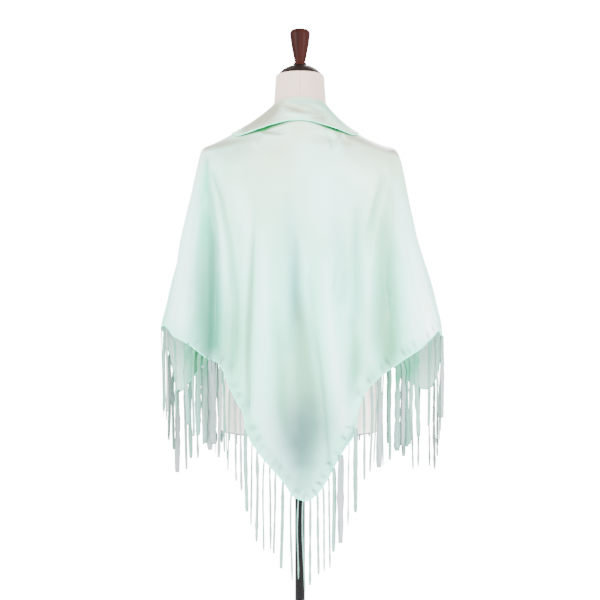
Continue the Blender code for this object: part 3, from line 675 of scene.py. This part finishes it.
def soften_edge(grid, place):
    # Round the bend where the cloth leaves the shoulders: crisp on the left, rounder on the right.
    rows = np.arange(len(grid))[:, None]
    near = bell(rows - YOKE_LINES + 1, SOFTEN_LINES)
    strength = SOFTEN_STEP * (near * by_side(place, SOFTEN_LEFT, 1.0)[None, :])
    for _ in range(SOFTEN_ROUNDS):
        middle = grid.copy()
        middle[1:-1] = 0.5 * (grid[:-2] + grid[2:])
        grid = grid + (middle - grid) * strength[..., None]
    return grid


def add_to_scene(name, data):
    made = bpy.data.objects.new(name, data)
    bpy.context.scene.collection.objects.link(made)
    return made


def new_object(name, points, faces, *looks):
    mesh = bpy.data.meshes.new(name)
    mesh.from_pydata([tuple(p) for p in points], [], faces)
    mesh.update()
    mesh.shade_smooth()
    for look in looks:
        mesh.materials.append(look)
    return add_to_scene(name, mesh)


def grid_faces(rows, columns, closed=False):
    faces = []
    for r in range(rows - 1):
        for c in range(columns if closed else columns - 1):
            after = (c + 1) % columns
            faces.append((r * columns + c, (r + 1) * columns + c,
                          (r + 1) * columns + after, r * columns + after))
    return faces


def tube_faces(rows, columns):
    # A closed tube of rings with a flat face on each end.
    faces = grid_faces(rows, columns, closed=True)
    faces.append(tuple(range(columns)))
    faces.append(tuple((rows - 1) * columns + c for c in reversed(range(columns))))
    return faces


def set_point_value(made, name, values):
    layer = made.data.attributes.new(name, "FLOAT", "POINT")
    layer.data.foreach_set("value", np.asarray(values, dtype=np.float32).ravel())


class Nodes:
    # A material's nodes, added one at a time and joined by name.
    def __init__(self, name):
        self.material = bpy.data.materials.new(name)
        self.material.use_nodes = True
        self.tree = self.material.node_tree
        self.shader = self.tree.nodes["Principled BSDF"]
        self.coords = self.add("ShaderNodeTexCoord").outputs["Object"]

    def add(self, kind, **values):
        node = self.tree.nodes.new(kind)
        for key, value in values.items():
            if key in node.bl_rna.properties:
                setattr(node, key, value)
            else:
                node.inputs[key.replace("_", " ")].default_value = value
        return node

    def link(self, start, end):
        self.tree.links.new(start, end)

    def mix(self, factor, first, second):
        node = self.tree.nodes.new("ShaderNodeMix")
        node.data_type = "RGBA"
        for value, socket in ((factor, 0), (first, 6), (second, 7)):
            if hasattr(value, "links"):
                self.link(value, node.inputs[socket])
            elif isinstance(value, (tuple, list)):
                node.inputs[socket].default_value = (*value, 1.0)
            else:
                node.inputs[socket].default_value = value
        return node.outputs[2]

    def stored(self, name):
        return self.add("ShaderNodeAttribute", attribute_name=name).outputs["Fac"]

    def axes(self):
        parts = self.add("ShaderNodeSeparateXYZ")
        self.link(self.coords, parts.inputs[0])
        return parts.outputs

    def ramp(self, source, low, high, **ends):
        node = self.add("ShaderNodeMapRange", From_Min=low, From_Max=high, **ends)
        self.link(source, node.inputs["Value"])
        return node.outputs["Result"]

    def noise(self, scale, detail=3.0, stretch=(1.0, 1.0, 1.0), turn=(0.0, 0.0, 0.0)):
        mapping = self.add("ShaderNodeMapping", Scale=stretch, Rotation=turn)
        self.link(self.coords, mapping.inputs["Vector"])
        node = self.add("ShaderNodeTexNoise", Scale=scale, Detail=detail)
        self.link(mapping.outputs["Vector"], node.inputs["Vector"])
        return node.outputs["Fac"]

    def bump(self, height, strength, distance, normal=None):
        node = self.add("ShaderNodeBump", Strength=strength, Distance=distance)
        self.link(height, node.inputs["Height"])
        if normal is not None:
            self.link(normal, node.inputs["Normal"])
        return node.outputs["Normal"]

    def finish(self, colour, roughness, normal=None, **values):
        if isinstance(colour, tuple):
            self.shader.inputs["Base Color"].default_value = (*colour, 1.0)
        else:
            self.link(colour, self.shader.inputs["Base Color"])
        if isinstance(roughness, float):
            self.shader.inputs["Roughness"].default_value = roughness
        else:
            self.link(roughness, self.shader.inputs["Roughness"])
        if normal is not None:
            self.link(normal, self.shader.inputs["Normal"])
        for key, value in values.items():
            self.shader.inputs[key.replace("_", " ")].default_value = value
        return self.material


def satin_normal(nodes):
    # Fine cross weave, the grain of the thread and the long slubs of crushed satin.
    weave = nodes.add("ShaderNodeTexWave", wave_type="BANDS", bands_direction="DIAGONAL",
                      Scale=620.0, Distortion=0.6)
    nodes.link(nodes.coords, weave.inputs["Vector"])
    normal = nodes.bump(weave.outputs["Fac"], 0.05, 0.0003)
    normal = nodes.bump(nodes.noise(900.0, 2.0), 0.05, 0.0003, normal)
    slub = nodes.noise(46.0, 4.0, (1.0, 1.0, 0.30), (0.0, 0.6, 0.0))
    normal = nodes.bump(slub, 0.30, 0.0018, normal)
    return nodes.bump(nodes.noise(17.0, 3.0, (1.0, 1.0, 0.22)), 0.30, 0.0035, normal)


def lay_shade_and_highlights(nodes, base):
    # Lays each kind of painted shade and painted highlight over the colour beneath.
    for kind, colour in SHADE_AND_HIGHLIGHT_COLOURS:
        base = nodes.mix(nodes.stored("tint_" + kind), base, colour)
    return base


def satin_material():
    # Pale mint satin: greyer and warmer on the shoulders, cooler below, soft random patches of
    # painted sheen and random green patches, the streaks of painted shade and highlight, and
    # painted deep-green shade on the cloth under the collar.
    nodes = Nodes("mint_satin")
    base = nodes.mix(nodes.ramp(nodes.axes()["Z"], 1.02, 1.32), MINT_LOW, MINT_HIGH)
    # Painted sheen: soft pale patches at random, standing in for the satin's highlights.
    cloud = nodes.noise(9.0, 2.0, (1.0, 1.0, 0.30))
    base = nodes.mix(nodes.ramp(cloud, 0.46, 0.76), base, MINT_PAINTED_SHEEN)
    green = nodes.noise(13.0, 2.0, (1.0, 1.0, 0.16))
    base = nodes.mix(nodes.ramp(green, 0.54, 0.84), base, MINT_GREEN)
    # Painted shade: the cloth the collar covers turns deep green.
    base = nodes.mix(nodes.stored("covered"), lay_shade_and_highlights(nodes, base), MINT_PAINTED_SHADE_UNDER_COLLAR)
    return nodes.finish(base, 0.38, satin_normal(nodes), Sheen_Weight=0.10, Sheen_Roughness=0.4,
                        Specular_IOR_Level=0.20)


def satin_inside_material():
    # The satin's inner side: mint, with painted light (paler) towards the sides, where light would
    # come through the thin satin, painted shade (deep green) further in, and a darker mint on the
    # back half.
    # The collar turns this side outwards.
    nodes = Nodes("mint_satin_inside")
    parts = nodes.axes()
    wide = nodes.add("ShaderNodeMath", operation="ABSOLUTE")
    nodes.link(parts["X"], wide.inputs[0])
    base = nodes.mix(nodes.ramp(wide.outputs[0], 0.220, 0.246), MINT_INSIDE_PAINTED_SHADE, MINT_INSIDE)
    base = nodes.mix(nodes.ramp(wide.outputs[0], 0.238, 0.262), base, MINT_INSIDE_PAINTED_LIGHT)
    base = nodes.mix(nodes.ramp(parts["Y"], 0.0, 0.07), MINT_INSIDE_BACK, base)
    green = nodes.noise(22.0, 2.0, (0.5, 0.5, 1.6))
    turned = nodes.mix(nodes.ramp(green, 0.42, 0.62), COLLAR_GREY, COLLAR_MINT)
    base = nodes.mix(nodes.stored("covered"), base, lay_shade_and_highlights(nodes, turned))
    return nodes.finish(base, 0.5, satin_normal(nodes), Sheen_Weight=0.1, Specular_IOR_Level=0.2)


def fringe_material():
    # Silky strands: grey lilac and mint, each strand with its own share, greener at the edges, with
    # painted green shade at the root.
    nodes = Nodes("mint_fringe")
    base = nodes.mix(nodes.stored("strand_tone"), STRAND_MINT, STRAND_LILAC)
    base = nodes.mix(nodes.stored("strand_rim_and_root_shade"), base, STRAND_RIM_AND_ROOT_SHADE)
    gather = nodes.noise(230.0, 2.0, (1.0, 1.0, 0.035))
    base = nodes.mix(nodes.ramp(gather, 0.50, 0.74), base, STRAND_SHADE)
    fibre = nodes.bump(nodes.noise(700.0, 2.0, (1.0, 1.0, 0.04)), 0.35, 0.0008)
    return nodes.finish(base, 0.45, fibre, Sheen_Weight=0.15, Sheen_Roughness=0.4,
                        Specular_IOR_Level=0.3)


def hem_material():
    nodes = Nodes("hem_thread")
    grain = nodes.noise(500.0, 2.0)
    base = nodes.mix(nodes.ramp(grain, 0.35, 0.65), THREAD_DARK, THREAD_LIGHT)
    return nodes.finish(base, 0.5, nodes.bump(grain, 0.3, 0.0005), Sheen_Weight=0.2)


def cover_material():
    # Cream jersey over the form: fine knit, faint warm patches, paler low down, a dark lower rim.
    nodes = Nodes("form_jersey")
    height = nodes.axes()["Z"]
    base = nodes.mix(nodes.ramp(nodes.noise(5.0, 3.0), 0.4, 0.65), COVER_NECK, COVER_NECK_PALE)
    base = nodes.mix(nodes.ramp(height, 1.0, 0.85), base, COVER_LOW)
    base = nodes.mix(nodes.stored("seam"), base, COVER_SEAM)
    base = nodes.mix(nodes.ramp(height, 0.7185, 0.7168), base, COVER_RIM)
    knit = nodes.noise(1100.0, 2.0, (1.0, 1.0, 0.45))
    return nodes.finish(base, 0.86, nodes.bump(knit, 0.25, 0.0005), Sheen_Weight=0.2)


def wood_material(name, dark, light, roughness):
    nodes = Nodes(name)
    grain = nodes.noise(55.0, 4.0, (1.0, 1.0, 0.08))
    base = nodes.mix(nodes.ramp(grain, 0.35, 0.7), dark, light)
    wear = nodes.ramp(grain, 0.2, 0.9)
    rough = nodes.ramp(wear, 0.0, 1.0, To_Min=roughness, To_Max=roughness + 0.12)
    return nodes.finish(base, rough, nodes.bump(grain, 0.08, 0.0005), Specular_IOR_Level=0.02)


def metal_material():
    nodes = Nodes("black_paint")
    grain = nodes.noise(350.0, 3.0)
    base = nodes.mix(grain, (0.0010, 0.0010, 0.0011), (0.0022, 0.0022, 0.0024))
    rough = nodes.ramp(grain, 0.0, 1.0, To_Min=0.26, To_Max=0.40)
    return nodes.finish(base, rough, nodes.bump(grain, 0.05, 0.0003), Specular_IOR_Level=0.12)


def hem_frames(grid):
    # Along the hem: points, outward normals, the way off the edge, and the length so far.
    hem = grid[-1]
    normals = grid_normals(grid)[-1]
    along = unit(np.gradient(hem, axis=0))
    off = unit(np.cross(along, normals))
    off *= np.sign(np.sum(off * (grid[-1] - grid[-3]), axis=-1, keepdims=True))
    steps = np.linalg.norm(np.diff(hem, axis=0), axis=-1)
    return hem, normals, along, off, np.concatenate([[0.0], np.cumsum(steps)])


def strand_roots(frames, seed):
    # Rows of length along the hem, width, share of lilac, share of painted green shade at the root:
    # those of the back are placed by their table, the others at an even pitch.
    hem, length = frames[0], frames[-1]
    picker = random.Random(seed)
    behind = hem[:, 1] < BEHIND_Y
    inner, outer = float(hem[behind, 0].min()), float(hem[behind, 0].max())
    roots = []
    for across, width, lilac, green in np.array(BACK_STRANDS) / STRAND_UNITS:
        if inner < across < outer:
            at = float(np.interp(across, hem[behind, 0], length[behind]))
            roots.append((at, width, lilac, green))
    last = None
    wanted = 0.5 * STRAND_PITCH
    while wanted < length[-1] - 0.004:
        x, y = (float(np.interp(wanted, length, hem[:, axis])) for axis in (0, 1))
        if y > BEHIND_Y and (last is None or math.hypot(x - last[0], y - last[1]) > STRAND_CLEAR):
            wide = picker.random() < WIDE_SHARE
            low, high = (0.85 * WIDE_STRAND, WIDE_STRAND) if wide else STRAND_WIDTHS
            width = picker.uniform(low, high)
            lilac = picker.uniform(0.75, 1.0) if wide else picker.uniform(0.1, 0.6)
            roots.append((wanted, width, lilac, 0.4))
            last = (x, y)
        wanted += STRAND_PITCH * picker.uniform(0.90, 1.10)
    return roots


def at_length(frames, length, which):
    return np.array([np.interp(length, frames[4], frames[which][:, i]) for i in range(3)])


def strand_mesh(frames, row, picker):
    # One flat silky strand: gathered at its root, fuller below and drawn out to a tip.
    root, width, lilac, green = row
    start, out, run, off = (at_length(frames, root, which) for which in range(4))
    out[2] = run[2] = 0.0
    out, run = unit(out), unit(run)
    total = STRAND_LENGTH + picker.uniform(-STRAND_SPREAD, STRAND_SPREAD)
    turn = math.radians(picker.uniform(-STRAND_TURN, STRAND_TURN))
    side = run * math.cos(turn) + out * math.sin(turn)
    face = out * math.cos(turn) - run * math.sin(turn)
    sway = [picker.uniform(-STRAND_SWAY, STRAND_SWAY) for _ in range(4)]
    points, rims = [], []
    for line in range(STRAND_LINES):
        share = line / (STRAND_LINES - 1)
        drop = total * share
        centre = start + off * ROOT_OFF * min(drop / ROOT_LENGTH, 1.0) + np.array([0.0, 0.0, -drop])
        centre = centre + run * (sway[0] * share + sway[1] * 0.5 * math.sin(math.pi * 1.5 * share))
        centre = centre + out * (sway[2] * share + sway[3] * 0.4 * math.sin(math.pi * 1.3 * share))
        full = ROOT_WIDTH + (1.0 - ROOT_WIDTH) * min(share / 0.12, 1.0)
        taper = 1.0 - 0.30 * max((share - 0.90) / 0.10, 0.0) ** 2.0
        uneven = 1.0 + 0.32 * noise.noise(Vector((root * 40.0, share * 7.0, 3.0)))
        uneven += 0.28 * noise.noise(Vector((root * 90.0, share * 21.0, 8.0)))
        half = 0.5 * width * full * taper * uneven
        thick = 0.5 * STRAND_THICKNESS * (1.0 if share > 0.1 else 1.5)
        for corner in range(STRAND_SIDES):
            angle = 2.0 * math.pi * corner / STRAND_SIDES
            edge = abs(math.cos(angle))
            points.append(centre + side * half * math.cos(angle) + face * thick * math.sin(angle))
            # Greener at the strand's edges; painted green shade at the very root, and down its
            # upper part by its share.
            rims.append(max(0.8 * edge ** 3, 0.6 - share / 0.05,
                            green * min(1.0, 1.6 - share / 0.27)))
    return points, tube_faces(STRAND_LINES, STRAND_SIDES), rims, [lilac] * len(points)


def make_fringe(name, frames, seed, node, look):
    picker = random.Random(seed)
    points, faces, rims, tones = [], [], [], []
    for row in strand_roots(frames, seed):
        new_points, new_faces, new_rims, new_tones = strand_mesh(frames, row, picker)
        first = len(points)
        points += new_points
        faces += [tuple(first + i for i in face) for face in new_faces]
        rims += new_rims
        tones += new_tones
    made = new_object(name, points, faces, look)
    set_point_value(made, "strand_rim_and_root_shade", rims)
    set_point_value(made, "strand_tone", tones)
    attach(made, "root")
    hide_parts(node)
    return made


def make_hem_cord(name, frames, look, roots=()):
    # The rolled and overcast hem edge: a thin round cord with small even turns of thread, and a
    # knot at each strand's root.
    total = frames[-1][-1]
    count = int(total / CORD_STEP)
    points = []
    for i in range(count + 1):
        at = total * i / count
        out, down = at_length(frames, at, 1), at_length(frames, at, 3)
        centre = at_length(frames, at, 0) + down * CORD_OUT
        radius = CORD_RADIUS * (1.0 + THREAD_SHARE * math.sin(2.0 * math.pi * at / THREAD_PITCH))
        for root in roots:
            radius += KNOT_HEIGHT * math.exp(-((at - root[0]) / KNOT_SIZE) ** 2)
        for corner in range(CORD_SIDES):
            angle = 2.0 * math.pi * corner / CORD_SIDES
            points.append(centre + (out * math.cos(angle) + down * math.sin(angle)) * radius)
    made = new_object(name, points, tube_faces(count + 1, CORD_SIDES), look)
    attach(made, "root")
    return made


def pucker(grid, roots, frames_list):
    # Dimples just inside the hem over the strands' roots, uneven: gives how strong each one is, for
    # the painted slate shade laid in it, weaker on the front.
    picker = random.Random(7)
    hem_rows = grid[-HEM_LINES:]
    shade = np.zeros(grid.shape[:2])
    for frames, rows in zip(frames_list, roots):
        for root, *_ in rows:
            start, out, run, off = (at_length(frames, root, which) for which in range(4))
            strength = picker.uniform(0.35, 1.0) ** (0.7 if start[2] < 0.80 else 2.5)
            centre = at_length(frames, root + picker.uniform(-0.003, 0.003), 0)
            centre = centre - off * PUCKER_INSIDE * picker.uniform(0.6, 1.1)
            offset = hem_rows - centre
            near = bell(offset @ run, PUCKER_SIZE) * bell(offset @ off, PUCKER_LENGTH)
            near[np.linalg.norm(offset, axis=-1) > PUCKER_REACH] = 0.0
            hem_rows -= out * (PUCKER_DEPTH * strength * near)[..., None]
            tone = 1.0 if start[1] < BEHIND_Y else PUCKER_PAINTED_SHADE_FRONT
            shade[-HEM_LINES:] = np.maximum(shade[-HEM_LINES:], tone * strength * near)
    return shade


def make_shawl():
    grid, covered, place = cloth_grid()
    # The strength of each kind of painted shade and painted highlight at every point of the sheet.
    tints = {kind: shade_and_highlight_at(grid, place, kind) for kind, _ in SHADE_AND_HIGHLIGHT_COLOURS}
    middle = CLOTH_COLUMNS // 2
    halves = (slice(0, middle + 1), slice(middle, CLOTH_COLUMNS))
    frames = [hem_frames(grid[:, half]) for half in halves]
    names = (("fringe_strands_left", 11, "fringe_left"),
             ("fringe_strands_right", 23, "fringe_right"))
    roots = [strand_roots(rows, seed) for rows, (name, seed, node) in zip(frames, names)]
    # Painted shade along each side where the cloth turns away, on the hanging cloth only.
    edge = SIDE_PAINTED_SHADE * np.tile(bell(np.abs(place) - 0.5, SIDE_PAINTED_SHADE_WIDTH), (len(grid), 1))
    edge[:COLLAR_LINES + ROLL_LINES + YOKE_LINES] = 0.0
    tints["green"] = np.maximum(tints["green"], edge)
    # Painted shade in the dimples over the strands' roots.
    tints["slate"] = np.maximum(tints["slate"], pucker(grid, roots, frames))
    cloth = new_object("shawl_cloth", grid.reshape(-1, 3), grid_faces(*grid.shape[:2]),
                       satin_material(), satin_inside_material())
    set_point_value(cloth, "covered", covered)
    for kind, tint in tints.items():
        set_point_value(cloth, "tint_" + kind, tint)
    wall = cloth.modifiers.new("wall", "SOLIDIFY")
    wall.thickness = CLOTH_THICKNESS
    wall.offset = 0.0
    wall.material_offset = 1
    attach(cloth, "root")
    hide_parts("shawl_body", "shawl_collar")
    silk = fringe_material()
    thread = hem_material()
    for rows, knots, (name, seed, node) in zip(frames, roots, names):
        make_fringe(name, rows, seed, node, silk)
        cord = name.replace("fringe_strands", "hem_cord")
        make_hem_cord(cord, rows, thread, knots)
    make_hem_cord("collar_cord", hem_frames(grid[::-1]), thread)


def make_torso(look):
    # The covered form: smooth rings from the neck's edge down to the lower edge, with its seams.
    place = (-1.0 + 2.0 * np.arange(TORSO_COLUMNS) / TORSO_COLUMNS)[None, :]
    turn = math.pi * place[0]

    def neck_ring(inset, rise):
        y = -(NECK_TOP_RADIUS - inset) * np.cos(turn)
        return np.stack([(NECK_TOP_RADIUS - inset) * np.sin(turn), NECK_TOP_Y + y,
                         NECK_TOP_HEIGHT + rise - math.tan(NECK_TILT) * y], axis=-1)

    bends = [0.5 * math.pi * share for share in (0.0, 0.3, 0.6, 0.85, 1.0)]
    rings = [neck_ring(NECK_EDGE * (1.0 - math.sin(b)), NECK_EDGE * math.cos(b)) for b in bends]
    rim = neck_ring(0.0, 0.0)
    share = even(TORSO_YOKE_LINES)[:, None]
    yoke = yoke_points(np.abs(place), share)
    yoke[..., 0] *= np.where(place < 0, -1.0, 1.0)
    inset = 0.0010 + TORSO_EASE * share ** 0.5
    closed = np.concatenate([yoke[:, -1:], yoke, yoke[:, :1]], axis=1)
    yoke = yoke - grid_normals(closed)[:, 1:-1] * inset[..., None]
    neck = [rim + (yoke[0] - rim) * s for s in (0.12, 0.3, 0.5, 0.7, 0.88)]
    heights = np.concatenate([np.linspace(1.19, 0.722, 60), [TORSO_RIM, 0.7155, TORSO_LOW]])
    across, back = plan(place[0])
    low = []
    for height in heights:
        width = from_rows(TORSO, 1, height)
        depth = np.where(back > 0, from_rows(TORSO, 2, height), from_rows(TORSO, 3, height))
        tuck = RIM_TUCK * max(0.0, (TORSO_RIM - height) / (TORSO_RIM - TORSO_LOW)) ** 1.6
        low.append(np.stack([(width - tuck) * across, -(depth - tuck) * back,
                             np.full_like(across, height)], axis=-1))
    bridge = [yoke[-1] + (low[0] - yoke[-1]) * s for s in (0.25, 0.5, 0.75)]
    grid = np.array(rings + neck + list(yoke) + bridge + low)
    seam = np.zeros(grid.shape[:2])
    for seam_place, start in TORSO_SEAMS:
        gap = np.abs(np.abs(place[0] - seam_place))
        gap = np.minimum(gap, 2.0 - gap) * 0.5
        line = bell(gap, SEAM_SIZE)[None, :] * (np.arange(len(grid)) >= start)[:, None]
        seam = np.maximum(seam, line)
    closed = np.concatenate([grid[:, -1:], grid, grid[:, :1]], axis=1)
    grid = grid - grid_normals(closed)[:, 1:-1] * (SEAM_DEPTH * seam)[..., None]
    made = new_object("form_torso_cover", grid.reshape(-1, 3), tube_faces(*grid.shape[:2]), look)
    made.data.set_sharp_from_angle(angle=math.radians(50))
    set_point_value(made, "seam", 0.55 * seam)
    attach(made, "root")
    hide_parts("form_torso")


def make_turned(name, profile, steps, look, node):
    points = []
    for radius, height in profile[1:-1]:
        for i in range(steps):
            angle = 2.0 * math.pi * i / steps
            points.append((radius * math.sin(angle), -radius * math.cos(angle), height))
    faces = grid_faces(len(profile) - 2, steps, closed=True)
    top = len(points)
    points += [(0.0, 0.0, profile[0][1]), (0.0, 0.0, profile[-1][1])]
    last = (len(profile) - 3) * steps
    for i in range(steps):
        after = (i + 1) % steps
        faces.append((top, i, after))
        faces.append((top + 1, last + after, last + i))
    made = new_object(name, points, faces, look)
    made.data.set_sharp_from_angle(angle=math.radians(60))
    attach(made, "root")
    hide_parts(node)
    return made


def make_form():
    make_torso(cover_material())
    upright = Vector((0.0, math.sin(NECK_TILT), math.cos(NECK_TILT)))
    seat = Vector((0.0, NECK_TOP_Y, NECK_TOP_HEIGHT + NECK_EDGE)) + upright * GAP
    cap_look = wood_material("cap_lacquer", (0.0060, 0.0035, 0.0030),
                             (0.0110, 0.0060, 0.0050), 0.40)
    finial_look = wood_material("finial_lacquer", (0.0100, 0.0035, 0.0030),
                                (0.0240, 0.0060, 0.0045), 0.35)
    cap = make_turned("neck_cap_dome", CAP_PROFILE, 96, cap_look, "form_neck_cap")
    finial = make_turned("finial_turned", FINIAL_PROFILE, 72, finial_look, "form_finial")
    cap.location = seat
    finial.location = seat + upright * (CAP_PROFILE[0][1] + GAP)
    for made in (cap, finial):
        made.rotation_euler.x = -NECK_TILT
    metal = metal_material()
    plate_top = TORSO_LOW - GAP
    plate_rows = [(0.0, plate_top), (0.985, plate_top), (0.996, plate_top - 0.0008),
                  (1.0, plate_top - 0.002), (1.0, plate_top - PLATE_THICKNESS + 0.002),
                  (0.995, plate_top - PLATE_THICKNESS + 0.0006),
                  (0.982, plate_top - PLATE_THICKNESS), (0.0, plate_top - PLATE_THICKNESS)]
    plate = make_turned("base_plate_oval", plate_rows, 128, metal, "form_base_plate")
    for vertex in plate.data.vertices:
        vertex.co.x *= PLATE_HALF_WIDTH
        vertex.co.y *= PLATE_HALF_DEPTH
    pole_top = plate_top - PLATE_THICKNESS - GAP
    pole_low = HUB_TOP + GAP
    inner = POLE_RADIUS - POLE_EDGE
    pole_rows = [(0.0, pole_top), (inner, pole_top), (POLE_RADIUS, pole_top - POLE_EDGE)]
    pole_rows += [(POLE_RADIUS, pole_top + (pole_low - pole_top) * s) for s in (0.25, 0.5, 0.75)]
    pole_rows += [(POLE_RADIUS, pole_low + POLE_EDGE), (inner, pole_low), (0.0, pole_low)]
    make_turned("pole_tube", pole_rows, 64, metal, "stand_pole")
    make_turned("foot_disc", BASE_PROFILE, 128, metal, "stand_base")


def place_facing(made, place, aim):
    made.location = place
    made.rotation_euler = (Vector(aim) - made.location).to_track_quat("-Z", "Y").to_euler()


def make_stage():
    # A round pale floor in a white studio: a soft even surround, a large lamp on each side of the
    # camera, and weaker ones in front and behind. The camera sees the surround brighter than it
    # lights the cloth.
    world = bpy.data.worlds.new("studio")
    bpy.context.scene.world = world
    world.use_nodes = True
    tree = world.node_tree
    even_light = tree.nodes["Background"]
    seen = tree.nodes.new("ShaderNodeBackground")
    for node, strength in ((even_light, SURROUND_LIGHT), (seen, SURROUND_SEEN)):
        node.inputs["Strength"].default_value = strength
        node.inputs["Color"].default_value = (1.0, 1.0, 1.0, 1.0)
    path = tree.nodes.new("ShaderNodeLightPath")
    both = tree.nodes.new("ShaderNodeMixShader")
    tree.links.new(path.outputs["Is Camera Ray"], both.inputs[0])
    tree.links.new(even_light.outputs[0], both.inputs[1])
    tree.links.new(seen.outputs[0], both.inputs[2])
    tree.links.new(both.outputs[0], tree.nodes["World Output"].inputs["Surface"])
    look = Nodes("floor_paper")
    colour = look.mix(look.noise(40.0), (0.95, 0.95, 0.95), (0.97, 0.97, 0.97))
    turns = [2.0 * math.pi * i / FLOOR_SIDES for i in range(FLOOR_SIDES)]
    floor = new_object("floor", [(FLOOR_RADIUS * math.sin(turn), FLOOR_RADIUS * math.cos(turn), 0.0)
                                 for turn in turns],
                       [tuple(reversed(range(FLOOR_SIDES)))], look.finish(colour, 0.9))
    for name, place, size, power in LAMPS:
        lamp = bpy.data.lights.new(name, "AREA")
        lamp.size = size
        lamp.energy = power
        place_facing(add_to_scene(name, lamp), place, LAMP_AIM)


def make_camera():
    data = bpy.data.cameras.new("camera")
    data.sensor_width = SENSOR
    data.lens = LENS
    camera = add_to_scene("camera", data)
    place_facing(camera, (0.0, -CAMERA_DISTANCE, CAMERA_HEIGHT), (0.0, 0.0, CAMERA_AIM))
    bpy.context.scene.camera = camera


make_camera()
make_shawl()
make_form()
make_stage()
